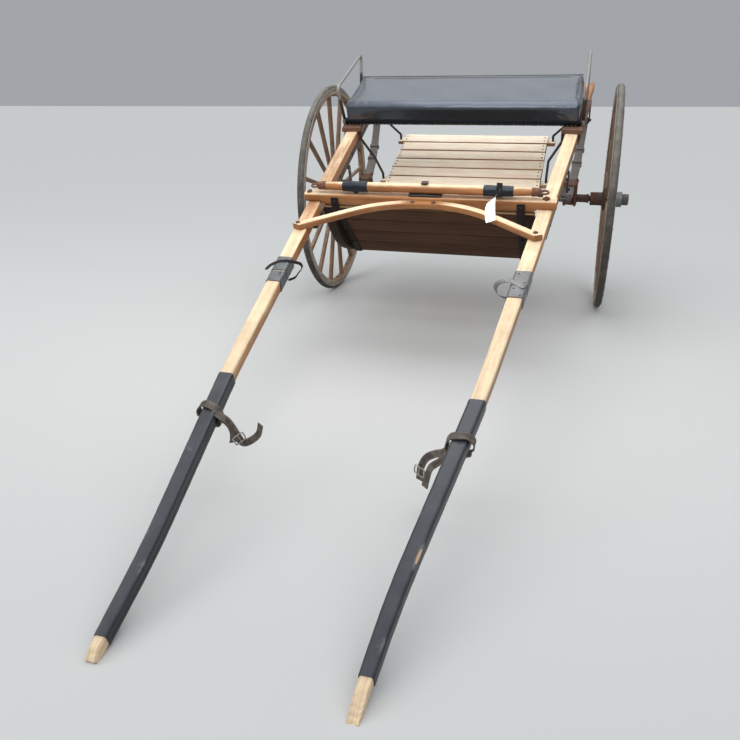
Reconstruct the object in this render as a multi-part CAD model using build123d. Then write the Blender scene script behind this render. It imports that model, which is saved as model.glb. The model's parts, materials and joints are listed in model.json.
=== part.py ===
from build123d import *
import math
import os

# Two-wheeled wooden road cart for one horse, parked on its wheels and its shaft tips.
# Everything but the wheels is drawn level, as it rides behind a horse, in millimetres, with the
# origin at the middle of the axle, +X to the right side, -Y forward to the shaft tips and +Z up.
# tip_forward() then turns the level cart about the axle until its tips touch the ground.

# Wheels
wheel_radius = 570.0
track_half = 759.0
tyre_width = 31.0
tyre_depth = 22.0
crown_height = 9.0
channel_wall = 3.0
channel_lip = 8.0
felloe_depth = 28.0
felloe_width = 34.0
felloe_round = 8.0
felloe_chamfer = 4.0
spoke_count = 16
spoke_phase = 8.0
spoke_foot = (15.0, 8.5)
spoke_tongue = (13.0, 12.5)
spoke_sink = 6.0
hub_barrel_radius = 34.0
hub_core_radius = 46.0
hub_flange_radius = 56.0
hub_flange_thickness = 9.0
hub_core_half = 16.0
hub_taper = 10.0
hub_inner_length = 92.0
hub_outer_length = 62.0
hub_band_radius = 39.0
hub_band_length = 26.0
hub_cap_radius = 29.0
hub_cap_length = 34.0
hub_cap_wall = 5.0
hub_cap_chamfer = 5.0
hub_cap_shoulder = 6.0
hub_cap_room = 4.0

# Axle
axle_square = 32.0
axle_arm_radius = 15.0
axle_collar_radius = 23.0
axle_collar_length = 12.0
axle_end_gap = 6.0
axle_nut_length = 12.0
running_clearance = 0.05
fit_gap = 0.3

# Shafts: rear stretch straight and splayed, then bent in towards the tips
side_x = 565.0
side_splay = 4.3
shaft_top = 435.0
shaft_rear = 500.0
shaft_length = 3090.0
shaft_depth = 46.0
shaft_round = 5.0
# columns: distance back from the tip, inward from the end of the straight stretch, width, depth
shaft_bends = (
    (1790.0, 0.0, 57.0, 46.0),
    (990.0, 65.0, 45.0, 42.0),
    (290.0, 153.0, 34.0, 36.0),
)
shaft_tip_inset = 170.0
shaft_tip_width = 27.0
shaft_tip_depth = 32.0
shaft_rear_width = 62.0
shaft_bend_radius = 3600.0
tip_flat = 34.0
# wood lost from the top of each tip: length along the shaft and depth at the end
tip_chips = {"left": (24.0, 14.0), "right": (62.0, 20.0)}

# Black sleeves round the front of the shafts, with a bare tip in front of each
sleeve_rear = 950.0
bare_tips = {"left": 52.0, "right": 90.0}
sleeve_thickness = 3.0

# Steel rail under each shaft, and the springs below it
rail_width = 44.0
rail_depth = 45.0
rail_wall = 4.0
rail_front = 1060.0
spring_width = 42.0
leaf_thickness = 7.0
leaf_count = 5
main_leaf_length = 956.0
leaf_step = 86.0
spring_seat = 46.0
spring_rise = 196.0
spring_reach = 460.0
eye_radius = 15.0
eye_bolt_radius = 7.0
eye_bolt_end = 8.0
shackle_thickness = 6.0
shackle_width = 34.0
shackle_play = 1.0
clip_rod_radius = 5.5
clip_rod_room = 4.0
clip_rod_end = 9.0
clip_plate = 8.0
clip_margin = 3.0
saddle_half = 32.0

# Crossbar, bow brace and swingletree
crossbar_y = -960.0
crossbar_half = 535.0
crossbar_width = 50.0
crossbar_depth = 36.0
bar_round = 4.0
bow_width = 30.0
bow_depth = 27.0
# centre line of the bow on the right side: x, y
bow_points = ((150.0, -1000.5), (497.0, -1261.0))
bow_radius = 440.0
pivot_plate_length = 140.0
pivot_plate_width = 40.0
pivot_plate_thickness = 10.0
pivot_bolt_radius = 7.0
pivot_washer_radius = 17.0
pivot_lift = 5.0
bolt_head_radius = 13.0
bolt_head_height = 9.0
bolt_head_gap = 2.0
swingletree_half = 464.0
swingletree_radius = 20.0
swingletree_end_radius = 14.0
swingletree_taper = 150.0
ferrule_length = 30.0
ferrule_wall = 3.0
ferrule_cap = 6.0
hook_rod = 4.5
hook_ring_radius = 15.0
band_thickness = 2.0
# reach of the wrapped band on each side, from the middle of the bar
bands = {"left": (247.0, 357.0), "right": (242.0, 362.0)}

# Toe board and slatted floor
toe_top_z = 414.0
toe_foot = (-748.0, 62.0)
toe_half = 450.0
toe_planks = 4
plank_gap = 3.0
plank_thickness = 15.0
rib_width = 46.0
rib_depth = 48.0
rib_inset = 12.0
floor_rear_point = (380.0, 170.0)
floor_half = 412.0
slat_pitch = 93.0
slat_gap = 12.0
slat_thickness = 14.0
board_round = 2.5
strap_x = 391.0
strap_width = 38.0
strap_thickness = 6.0
strap_top_gap = 2.0
strap_rear_gap = 4.0
bearer_width = 42.0
bearer_depth = 22.0
mid_bearer_y = -80.0
rear_bearer_inset = 22.0
bearer_half = 452.0
stay_radius = 6.5
stay_bend = 10.0
stay_drop = 30.0
stay_inset = 14.0
stay_grip = 6.0
stay_head_inset = 22.0

# Seat
seat_board_overhang = 25.0
seat_board_thickness = 15.0
seat_front = -160.0
seat_rear = 175.0
cushion_inset = 6.0
cushion_front_overhang = 16.0
cushion_rear_inset = 4.0
cushion_rear_height = 120.0
cushion_front_height = 96.0
cushion_bulge = 6.0
cushion_bulge_height = 58.0
cushion_round = 22.0
bracket_width = 96.0
bracket_height = 20.0
bracket_front = -212.0
bracket_rear = 190.0
bracket_lug = 56.0
bracket_lug_thickness = 5.0
bracket_lug_half = 20.0
bracket_lug_inset = 30.0
arm_radius = 8.0
# path of an arm rail: y, height over the seat board
arm_points = ((-150.0, 20.0), (-206.0, 206.0), (246.0, 232.0), (170.0, 20.0))
arm_bend = 34.0
arm_foot_half = 18.0
arm_foot_height = 26.0

# Clips on the shafts, ahead of the bow's ends, and leather tug loops, back from the tips
clip_ahead = 185.0
clip_lengths = (92.0, 66.0)
clip_spacing = 8.0
clip_sheet = 3.0
clip_loop_reach = 62.0
clip_loop_strap = 18.0
clip_loop_bend = 22.0
tug_back = 790.0
tug_width = 30.0
tug_thickness = 4.0
tug_slack = 9.0
tug_side_gap = 8.0
tug_round = 14.0
tug_tail_bend = 18.0
# corner and end of each tail: inward from the middle of the shaft, height over its top
tug_tails = {"left": ((66.0, -34.0), (88.0, -128.0)), "right": ((104.0, -100.0), (130.0, -196.0))}

tan_splay = math.tan(math.radians(side_splay))
shaft_tip = -shaft_length
tip_bottom = shaft_top - shaft_tip_depth
contact_y = shaft_tip + tip_flat
contact_reach = math.hypot(contact_y, tip_bottom)
tilt = math.degrees(math.asin(wheel_radius / contact_reach) + math.atan2(tip_bottom, -contact_y))
crossbar_top = shaft_top + crossbar_depth
crossbar_front = crossbar_y - crossbar_width / 2
pivot_plate_top = crossbar_top + pivot_plate_thickness
swingletree_z = pivot_plate_top + swingletree_radius
rail_top = shaft_top - shaft_depth
rail_bottom = rail_top - rail_depth
seat_board_z = shaft_top + bracket_height
seat_board_half = side_x + seat_board_overhang
cushion_z = seat_board_z + seat_board_thickness


def box(x0, x1, y0, y1, z0, z1):
    return Pos((x0 + x1) / 2, (y0 + y1) / 2, (z0 + z1) / 2) * Box(x1 - x0, y1 - y0, z1 - z0)


def side_profile(points, x0, x1):
    # A closed outline of (y, z) points, drawn out from x0 to x1
    outline = Polyline(*points, close=True)
    return extrude(Plane.YZ.offset(x0) * make_face(outline), amount=x1 - x0)


def plan_profile(outline, z0, z1):
    return extrude(Plane.XY.offset(z0) * make_face(outline), amount=z1 - z0)


def strip(points, thickness, x0, x1):
    # A flat bar that runs through (y, z) points, drawn out from x0 to x1
    face = trace(Polyline(*points), line_width=thickness)
    return extrude(Plane.YZ.offset(x0) * face, amount=x1 - x0)


def on_side_line(shape):
    # From a frame along the splayed side line to the level cart
    return Pos(side_x, 0, 0) * Rot(0, 0, -side_splay) * shape


def rod(points, radius, bend):
    path = FilletPolyline(*points, radius=bend)
    start = Plane(origin=path @ 0, z_dir=path % 0)
    return sweep(start * Circle(radius), path=path)


def rounded(shape, axis, radius):
    # Rounds the edges that run along one axis
    return fillet(shape.edges().filter_by(axis), radius)


def right_and_left(shape):
    return {"right": shape, "left": mirror(shape, about=Plane.YZ)}


def on_both_sides(shape):
    return Compound(children=list(right_and_left(shape).values()))


# Wheel, round the X axis

rim_bed = wheel_radius - tyre_depth
felloe_outer = rim_bed - channel_wall - 2 * fit_gap
felloe_inner = felloe_outer - felloe_depth


def ring(outline):
    return revolve(Plane.XZ * make_face(outline), axis=Axis.X)


def tyre():
    half = tyre_width / 2
    shoulder = wheel_radius - crown_height
    outline = Polyline((half, shoulder), (half, rim_bed), (-half, rim_bed), (-half, shoulder))
    crown = ThreePointArc((-half, shoulder), (0, wheel_radius), (half, shoulder))
    return ring(outline + crown)


def channel():
    half = tyre_width / 2 + fit_gap
    outer = half + channel_wall
    top = rim_bed + channel_lip
    floor_top = rim_bed - fit_gap
    bottom = floor_top - channel_wall
    return ring(Polyline((-outer, bottom), (outer, bottom), (outer, top), (half, top), (half, floor_top),
                         (-half, floor_top), (-half, top), (-outer, top), close=True))


def felloe():
    half = felloe_width / 2
    inner_half = half - felloe_chamfer
    side_end = felloe_inner + felloe_round
    return ring(Polyline((-half, felloe_outer), (half, felloe_outer), (half, side_end), (inner_half, felloe_inner),
                         (-inner_half, felloe_inner), (-half, side_end), close=True))


def hub():
    bore = axle_arm_radius + running_clearance
    flange = hub_core_half + hub_flange_thickness
    return ring(Polyline((-hub_inner_length, bore), (-hub_inner_length, hub_barrel_radius),
                         (-flange - hub_taper, hub_barrel_radius), (-flange, hub_flange_radius),
                         (-hub_core_half, hub_flange_radius), (-hub_core_half, hub_core_radius),
                         (hub_core_half, hub_core_radius), (hub_core_half, hub_flange_radius),
                         (flange, hub_flange_radius), (flange + hub_taper, hub_barrel_radius),
                         (hub_outer_length, hub_barrel_radius), (hub_outer_length, bore), close=True))


def hub_cap():
    # Band round the outer barrel with the closed dust cap in front of it
    start = hub_outer_length - hub_band_length
    inner = hub_barrel_radius + fit_gap
    seat = hub_outer_length + fit_gap
    face = hub_outer_length + hub_cap_shoulder
    end = face + hub_cap_length
    hollow = axle_arm_radius + hub_cap_room
    return ring(Polyline((start, inner), (start, hub_band_radius), (face, hub_band_radius), (face, hub_cap_radius),
                         (end - hub_cap_chamfer, hub_cap_radius), (end, hub_cap_radius - hub_cap_chamfer), (end, 0),
                         (end - hub_cap_wall, 0), (end - hub_cap_wall, hollow), (seat, hollow), (seat, inner),
                         close=True))


def spokes():
    # Each spoke tapers from a deep foot in the hub core to a wide tongue at the felloe
    foot = hub_core_radius + fit_gap
    tongue = felloe_inner - fit_gap
    foot_face = Plane.XY.offset(foot - spoke_sink) * Ellipse(*spoke_foot)
    tongue_face = Plane.XY.offset(tongue) * Ellipse(*spoke_tongue)
    core = Rot(0, 90, 0) * Cylinder(foot, 4 * hub_core_half)
    one = loft([foot_face, tongue_face]) - core
    turn = 360 / spoke_count
    return Compound(children=[Rot(spoke_phase + k * turn, 0, 0) * one for k in range(spoke_count)])


# Axle

axle_shoulder = track_half - hub_inner_length - axle_end_gap
axle_end = track_half + hub_outer_length + axle_nut_length


def axle():
    half = axle_square / 2
    bar = box(-axle_shoulder, axle_shoulder, -half, half, -half, half)
    arm = Rot(0, 90, 0) * Cylinder(axle_arm_radius, 2 * axle_end)
    collar = Rot(0, 90, 0) * Cylinder(axle_collar_radius, axle_collar_length)
    place = axle_shoulder - axle_collar_length / 2
    return bar + arm + Pos(place, 0, 0) * collar + Pos(-place, 0, 0) * collar


# Shafts on the right side, level

def shaft_stations():
    # From the rear to the tip: y, centre x, width, depth
    straight_end = side_x + tan_splay * (shaft_tip + shaft_bends[0][0])
    rows = shaft_bends + ((0, shaft_tip_inset, shaft_tip_width, shaft_tip_depth),)
    front = [(shaft_tip + back, straight_end - inward, width, depth) for back, inward, width, depth in rows]
    return [(shaft_rear, side_x + tan_splay * shaft_rear, shaft_rear_width, shaft_depth)] + front


def place_at(y):
    # Shaft centre, width, depth and lean of the centre line at a place along it
    stations = shaft_stations()
    for (y1, x1, w1, d1), (y2, x2, w2, d2) in zip(stations, stations[1:]):
        if y2 <= y <= y1:
            t = (y1 - y) / (y1 - y2)
            lean = math.degrees(math.atan2(x1 - x2, y1 - y2))
            return x1 + t * (x2 - x1), w1 + t * (w2 - w1), d1 + t * (d2 - d1), lean


def shaft_blank(grow, front, rear):
    # The shaft's plan outline and side outline crossed, both grown outward, then rounded and cut to length
    stations = shaft_stations()
    outer = [(x + w / 2 + grow, y) for y, x, w, d in stations]
    inner = [(x - w / 2 - grow, y) for y, x, w, d in stations]
    outer_edge = FilletPolyline(*outer, radius=shaft_bend_radius)
    inner_edge = FilletPolyline(*inner, radius=shaft_bend_radius)
    ends = [Line(outer[0], inner[0]), Line(outer[-1], inner[-1])]
    top = shaft_top + grow
    plan = plan_profile([outer_edge, inner_edge] + ends, 0, 2 * top)
    low = [(y, shaft_top - d - grow) for y, x, w, d in stations]
    side = side_profile([(shaft_rear, top)] + low + [(shaft_tip, top)], 0, 2 * side_x)
    blank = plan & side
    across = [e for e in blank.edges() if abs((e @ 1).Y - (e @ 0).Y) < fit_gap]
    blank = fillet(blank.edges() - across, shaft_round + grow)
    return blank & box(0, 2 * side_x, front, rear, 0, 2 * top)


def shaft(side):
    # The end is split off along the grain
    chip_length, chip_drop = tip_chips[side]
    chip = side_profile([(shaft_tip - 1, shaft_top + 1), (shaft_tip + chip_length, shaft_top + 1),
                         (shaft_tip - 1, shaft_top - chip_drop)], 0, side_x)
    return shaft_blank(0, shaft_tip, shaft_rear) - chip


def wrapped_plate(thickness, front, rear):
    # A sheet folded round the shaft from one place along it to another
    return shaft_blank(fit_gap + thickness, front, rear) - shaft_blank(fit_gap, front - 1, rear + 1)


def sleeve(side):
    return wrapped_plate(sleeve_thickness, shaft_tip + bare_tips[side], shaft_tip + sleeve_rear)


def rail():
    half = rail_width / 2
    outer = box(-half, half, -rail_front, shaft_rear, rail_bottom, rail_top)
    inner = box(-half + rail_wall, half - rail_wall, -rail_front - 1, shaft_rear + 1,
                rail_bottom + rail_wall, rail_top - rail_wall)
    return on_side_line(outer - inner)


# Springs

leaf_radius = (spring_reach ** 2 + spring_rise ** 2) / (2 * spring_rise)
spring_pack = leaf_thickness * leaf_count
curve_centre_z = spring_seat + spring_pack + leaf_radius
eye_angle = main_leaf_length / 2 / leaf_radius
eye_arm = leaf_radius - eye_radius + leaf_thickness
eye_y = eye_arm * math.sin(eye_angle)
eye_z = curve_centre_z - eye_arm * math.cos(eye_angle)


def leaf(number):
    inner = leaf_radius + number * leaf_thickness
    half = math.degrees((main_leaf_length / 2 - number * leaf_step) / leaf_radius)
    arcs = [CenterArc((0, curve_centre_z), r, -90 - half, 2 * half) for r in (inner, inner + leaf_thickness)]
    ends = [Line(arcs[0] @ k, arcs[1] @ k) for k in (0, 1)]
    return extrude(Plane.YZ.offset(-spring_width / 2) * make_face(arcs + ends), amount=spring_width)


def leaf_spring():
    pack = leaf(0)
    for number in range(1, leaf_count):
        pack = pack + leaf(number)
    for way in (-1, 1):
        place = Pos(0, way * eye_y, eye_z) * Rot(0, 90, 0)
        pack = pack + place * Cylinder(eye_radius, spring_width)
        pack = pack - place * Cylinder(eye_bolt_radius + fit_gap, 2 * spring_width)
    return on_side_line(pack)


def spring_hangers():
    # Two pairs of side plates with a bolt through each eye, hung from the rail
    inner = spring_width / 2 + shackle_play
    outer = inner + shackle_thickness
    half = shackle_width / 2
    hangers = []
    for way in (-1, 1):
        y = way * eye_y
        plate = box(inner, outer, y - half, y + half, eye_z, rail_bottom)
        plate = plate + Pos((inner + outer) / 2, y, eye_z) * Rot(0, 90, 0) * Cylinder(half, shackle_thickness)
        head = box(-outer, outer, y - half, y + half, rail_bottom - shackle_thickness, rail_bottom)
        bolt = Pos(0, y, eye_z) * Rot(0, 90, 0) * Cylinder(eye_bolt_radius, 2 * (outer + eye_bolt_end))
        hangers.append(on_side_line(plate + mirror(plate, about=Plane.YZ) + head + bolt))
    return Compound(children=hangers)


def axle_clip():
    # Saddle block, top and bottom plates and four rods that clamp the spring to the axle
    rod_x = spring_width / 2 + clip_rod_radius + fit_gap
    rod_y = axle_square / 2 + clip_rod_radius + clip_rod_room
    half_x = rod_x + clip_rod_radius + clip_margin
    half_y = rod_y + clip_rod_radius + clip_margin
    axle_top = axle_square / 2
    saddle = box(-spring_width / 2, spring_width / 2, -saddle_half, saddle_half, axle_top, spring_seat)
    hollow = Pos(0, 0, curve_centre_z) * Rot(0, 90, 0) * Cylinder(leaf_radius + spring_pack, 2 * spring_width)
    cap_low = curve_centre_z - math.sqrt(leaf_radius ** 2 - half_y ** 2) + fit_gap
    top = box(-half_x, half_x, -half_y, half_y, cap_low, cap_low + clip_plate)
    low = box(-half_x, half_x, -half_y, half_y, -axle_top - clip_plate, -axle_top)
    low_z = -axle_top - clip_plate - clip_rod_end
    high_z = cap_low + clip_plate + clip_rod_end
    rods = [Pos(sx * rod_x, sy * rod_y, (low_z + high_z) / 2) * Cylinder(clip_rod_radius, high_z - low_z)
            for sx in (-1, 1) for sy in (-1, 1)]
    return Compound(children=[on_side_line(top + rods + low), on_side_line(saddle - hollow)])


# Crossbar, bow and swingletree

def crossbar():
    bar = box(-crossbar_half, crossbar_half, crossbar_front, crossbar_front + crossbar_width, shaft_top, crossbar_top)
    return rounded(bar, Axis.X, bar_round)


def bow_brace():
    # Bent bar with both ends on the shafts and its middle against the crossbar
    left = [(-x, y) for x, y in reversed(bow_points)]
    line = FilletPolyline(*left, *bow_points, radius=bow_radius)
    bar = extrude(Plane.XY.offset(shaft_top) * trace(line, line_width=bow_width), amount=bow_depth)
    upright = bar.edges().filter_by(Axis.Z)
    return fillet(bar.edges() - upright, bar_round)


def pivot_plate():
    half_x = pivot_plate_length / 2
    half_y = pivot_plate_width / 2
    plate = box(-half_x, half_x, crossbar_y - half_y, crossbar_y + half_y, crossbar_top, pivot_plate_top)
    top = swingletree_z + swingletree_radius + bolt_head_gap
    washer_height = pivot_lift - fit_gap
    washer = Pos(0, crossbar_y, pivot_plate_top + washer_height / 2) * Cylinder(pivot_washer_radius, washer_height)
    bolt = Pos(0, crossbar_y, (crossbar_top + top) / 2) * Cylinder(pivot_bolt_radius, top - crossbar_top)
    head = Pos(0, crossbar_y, top + bolt_head_height / 2) * Cylinder(bolt_head_radius, bolt_head_height)
    return plate + washer + bolt + head


def bar_radius(x):
    # The bar is straight in its middle and tapers to both ends
    slope = (swingletree_radius - swingletree_end_radius) / swingletree_taper
    return min(swingletree_radius, swingletree_end_radius + slope * (swingletree_half - abs(x)))


def on_swingletree(outline):
    return Pos(0, crossbar_y, swingletree_z) * ring(outline)


def swingletree_bar():
    # Round bar with a hole for the pivot bolt and a flat that lifts it off the plate
    end = swingletree_half
    taper = end - swingletree_taper
    bar = on_swingletree(Polyline((-end, 0), (-end, bar_radius(end)), (-taper, bar_radius(taper)),
                                  (taper, bar_radius(taper)), (end, bar_radius(end)), (end, 0), close=True))
    hole = Pos(0, crossbar_y, swingletree_z) * Cylinder(pivot_bolt_radius + running_clearance, 3 * swingletree_radius)
    flat = box(-pivot_plate_length, pivot_plate_length, crossbar_y - pivot_plate_width,
               crossbar_y + pivot_plate_width, pivot_plate_top - pivot_lift, pivot_plate_top + pivot_lift)
    return bar - hole - flat


def swingletree_ferrules():
    # Iron ferrule on each end with a ring for the trace
    end = swingletree_half
    start = end - ferrule_length
    r0 = bar_radius(start) + fit_gap
    r1 = bar_radius(end) + fit_gap
    cup = on_swingletree(Polyline((start, r0), (start, r0 + ferrule_wall), (end + ferrule_cap, r1 + ferrule_wall),
                                  (end + ferrule_cap, 0), (end + fit_gap, 0), (end + fit_gap, r1), close=True))
    ring_x = end + fit_gap + hook_rod + hook_ring_radius
    eye = Pos(ring_x, crossbar_y, swingletree_z) * Torus(hook_ring_radius, hook_rod)
    return on_both_sides(cup + eye)


def swingletree_wraps():
    # Wrapped bands that follow the bar's taper
    tubes = []
    for side, way in (("left", -1), ("right", 1)):
        start, end = bands[side]
        places = [start, min(end, swingletree_half - swingletree_taper), end]
        low = [(way * x, bar_radius(x) + fit_gap) for x in places]
        high = [(x, r + band_thickness) for x, r in reversed(low)]
        tubes.append(on_swingletree(Polyline(*low, *high, close=True)))
    return Compound(children=tubes)


# Toe board, floor and its irons

toe_top = (crossbar_front + fit_gap, toe_top_z)
toe_run = (toe_foot[0] - toe_top[0], toe_foot[1] - toe_top[1])
toe_length = math.hypot(*toe_run)
toe_slope = math.degrees(math.atan2(toe_run[1], toe_run[0]))
floor_run = (floor_rear_point[0] - toe_foot[0], floor_rear_point[1] - toe_foot[1])
floor_length = math.hypot(*floor_run)
floor_slope = math.degrees(math.atan2(floor_run[1], floor_run[0]))


def on_slope(start, slope, shape):
    # Place a piece drawn along +Y with its underside at z = 0 on a sloping line of the level cart
    return Pos(0, start[0], start[1]) * Rot(slope, 0, 0) * shape


def slope_point(start, slope, distance, depth):
    # A point along a sloping line and a depth below it
    a = math.radians(slope)
    return (start[0] + distance * math.cos(a) + depth * math.sin(a),
            start[1] + distance * math.sin(a) - depth * math.cos(a))


def toe_board():
    pitch = toe_length / toe_planks
    planks = []
    for k in range(toe_planks):
        plank = box(-toe_half, toe_half, k * pitch + plank_gap / 2, (k + 1) * pitch - plank_gap / 2,
                    0, plank_thickness)
        planks.append(on_slope(toe_top, toe_slope, rounded(plank, Axis.X, board_round)))
    return Compound(children=planks)


def toe_ribs():
    # Crescent ribs in front of the ends of the toe planks, outside the straps
    inner = strap_x + strap_width / 2 + fit_gap
    ends = [(rib_inset, 0), (toe_length - rib_inset, 0)]
    crescent = ThreePointArc(ends[0], (toe_length / 2, -rib_depth), ends[1])
    rib = extrude(Plane.YZ.offset(inner) * make_face([Line(*ends), crescent]), amount=rib_width)
    return on_both_sides(on_slope(toe_top, toe_slope, rib))


def floor_slats():
    count = int((floor_length - 2 * plank_thickness) // slat_pitch)
    start = floor_length - count * slat_pitch
    slats = []
    for k in range(count):
        low = start + k * slat_pitch
        slat = box(-floor_half, floor_half, low + slat_gap, low + slat_pitch, 0, slat_thickness)
        slats.append(on_slope(toe_foot, floor_slope, rounded(slat, Axis.X, board_round)))
    return Compound(children=slats)


def body_straps():
    # Bent flat irons: down the crossbar's front, along under the toe board and under the floor
    half = strap_thickness / 2
    bend_run = half * math.tan(math.radians(45 + toe_slope / 2))
    foot_run = half * math.tan(math.radians((floor_slope - toe_slope) / 2))
    points = [(crossbar_front - half, crossbar_top - strap_top_gap),
              (crossbar_front - half, toe_top_z - bend_run),
              slope_point(toe_foot, floor_slope, -foot_run, half),
              slope_point(toe_foot, floor_slope, floor_length - strap_rear_gap, half)]
    return on_both_sides(strip(points, strap_thickness, strap_x - strap_width / 2, strap_x + strap_width / 2))


bearer_places = ((mid_bearer_y - toe_foot[0]) / math.cos(math.radians(floor_slope)),
                 floor_length - rear_bearer_inset)


def floor_bearers():
    half = bearer_width / 2
    bars = [box(-bearer_half, bearer_half, place - half, place + half, -strap_thickness - bearer_depth,
                -strap_thickness) for place in bearer_places]
    return Compound(children=[on_slope(toe_foot, floor_slope, bar) for bar in bars])


def floor_stays():
    # Iron stays from the seat bracket and from the rail down to the ends of the two bearers
    (mid_y, mid_z), (rear_y, rear_z) = [slope_point(toe_foot, floor_slope, place, strap_thickness)
                                        for place in bearer_places]
    foot_x = bearer_half - stay_inset
    foot_gap = fit_gap + stay_radius * math.tan(math.radians(floor_slope))
    head_y = bracket_front + stay_head_inset
    lug_face = shaft_rear_width / 2 + fit_gap + bracket_lug_thickness
    head_x = side_x + tan_splay * head_y - lug_face - stay_radius - 2 * fit_gap
    side = side_x + tan_splay * rear_y - rail_width / 2 - stay_radius - fit_gap
    front = [(head_x, head_y, shaft_top - fit_gap), (head_x, head_y, shaft_top - shaft_depth),
             (foot_x + stay_bend, head_y + stay_head_inset, (shaft_top + mid_z) / 2),
             (foot_x, mid_y, mid_z + stay_drop), (foot_x, mid_y, mid_z + foot_gap)]
    rear = [(side, rear_y, rail_top - stay_grip), (side, rear_y, rail_bottom - stay_drop),
            (foot_x, rear_y, rear_z + stay_drop), (foot_x, rear_y, rear_z + foot_gap)]
    rods = [rod(points, stay_radius, stay_bend) for points in (front, rear)]
    return Compound(children=rods + [mirror(one, about=Plane.YZ) for one in rods])


# Seat

def seat_brackets():
    half = bracket_width / 2
    plate = box(-half, half, bracket_front, bracket_rear, shaft_top, seat_board_z)
    inner = shaft_rear_width / 2 + fit_gap
    outer = inner + bracket_lug_thickness
    for y in (bracket_front + bracket_lug_inset, bracket_rear - bracket_lug_inset):
        lug = box(inner, outer, y - bracket_lug_half, y + bracket_lug_half, shaft_top - bracket_lug, shaft_top)
        plate = plate + lug + mirror(lug, about=Plane.YZ)
    return on_both_sides(on_side_line(plate))


def seat_board():
    board = box(-seat_board_half, seat_board_half, seat_front, seat_rear, seat_board_z, cushion_z)
    return rounded(board, Axis.X, board_round)


def cushion():
    front = seat_front - cushion_front_overhang
    rear = seat_rear - cushion_rear_inset
    low = cushion_z + fit_gap
    half = seat_board_half - cushion_inset
    body = side_profile([(front, low), (front - cushion_bulge, low + cushion_bulge_height),
                         (front, low + cushion_front_height), (rear, low + cushion_rear_height), (rear, low)],
                        -half, half)
    tops = body.faces().sort_by(Axis.Z)[-1].edges()
    return fillet(tops, cushion_round)


def arm_rail():
    x = seat_board_half + arm_radius + fit_gap
    points = [(x, y, seat_board_z + height) for y, height in arm_points]
    feet = [box(x - arm_radius, x + arm_radius, y - arm_foot_half, y + arm_foot_half,
                seat_board_z + fit_gap, seat_board_z + arm_foot_height)
            for y, height in (arm_points[0], arm_points[-1])]
    return rod(points, arm_radius, arm_bend) + feet


# Clips and tug loops on the shafts

def shaft_clip():
    # Two folded plates over the shaft and a flat strap loop on its inner side
    plates = []
    start = bow_points[-1][1] - clip_ahead
    rear = start
    for length in clip_lengths:
        plates.append(wrapped_plate(clip_sheet, rear - length, rear))
        rear = rear - length - clip_spacing
    middle = start - clip_lengths[0] - clip_spacing / 2
    x, width, depth, lean = place_at(middle)
    face = -width / 2 - fit_gap - clip_sheet / 2
    reach = face - clip_loop_reach
    half = clip_lengths[1] / 2 + clip_spacing
    path = FilletPolyline((face, half, 0), (reach, half, 0), (reach, -half, 0), (face, -half, 0),
                          radius=clip_loop_bend)
    loop = extrude(Plane.XY.offset(-clip_loop_strap / 2) * trace(path, line_width=clip_sheet), amount=clip_loop_strap)
    return plates[0] + plates[1] + Pos(x, middle, shaft_top - depth / 2) * Rot(0, 0, -lean) * loop


def tug(side):
    # Leather loop round the sleeve with its tail hanging inside the shaft
    y = shaft_tip + tug_back
    x, width, depth, lean = place_at(y)
    sleeve_room = fit_gap + sleeve_thickness
    half = width / 2 + sleeve_room + tug_side_gap
    top = sleeve_room + fit_gap
    low = -depth - sleeve_room - tug_slack
    wall = 2 * tug_thickness
    middle = Pos(0, 0, (top + low) / 2) * Rot(90, 0, 0)
    outer = RectangleRounded(2 * half + wall, top - low + wall, tug_round + tug_thickness)
    loop = middle * extrude(outer - RectangleRounded(2 * half, top - low, tug_round), amount=tug_width / 2, both=True)
    corner, end = tug_tails[side]
    line = FilletPolyline((-half - tug_thickness / 2, low / 2), (-corner[0], corner[1]), (-end[0], end[1]),
                          radius=tug_tail_bend)
    tail = extrude(Plane.XZ * trace(line, line_width=tug_thickness), amount=tug_width / 2, both=True)
    return Pos(x, y, shaft_top) * Rot(0, 0, -lean) * (loop + tail)


def own_sides(maker):
    return {"right": maker("right"), "left": mirror(maker("left"), about=Plane.YZ)}


level = {
    "axle": axle(),
    "crossbar": crossbar(),
    "bow_brace": bow_brace(),
    "pivot_plate": pivot_plate(),
    "swingletree_bar": swingletree_bar(),
    "swingletree_ferrules": swingletree_ferrules(),
    "swingletree_wraps": swingletree_wraps(),
    "toe_board": toe_board(),
    "toe_ribs": toe_ribs(),
    "floor_slats": floor_slats(),
    "floor_bearers": floor_bearers(),
    "floor_stays": floor_stays(),
    "body_straps": body_straps(),
    "seat_brackets": seat_brackets(),
    "seat_board": seat_board(),
    "seat_cushion": cushion(),
}
pairs = {
    "shaft": own_sides(shaft),
    "shaft_sleeve": own_sides(sleeve),
    "side_rail": right_and_left(rail()),
    "leaf_spring": right_and_left(leaf_spring()),
    "spring_hangers": right_and_left(spring_hangers()),
    "axle_clip": right_and_left(axle_clip()),
    "arm_rail": right_and_left(arm_rail()),
    "shaft_clip": right_and_left(shaft_clip()),
    "leather_tug": own_sides(tug),
}
for name, sides in pairs.items():
    for side, shape in sides.items():
        level[name + "_" + side] = shape

wheel_parts = {"tyre": tyre(), "tyre_channel": channel(), "wheel_felloe": felloe(), "wheel_spokes": spokes(),
               "wheel_hub": hub(), "hub_cap": hub_cap()}


# Parking: turn forward onto the tips, then centre the length on the origin

def tip_forward(shape):
    return Pos(0, 0, wheel_radius) * Rot(tilt, 0, 0) * shape


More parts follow.
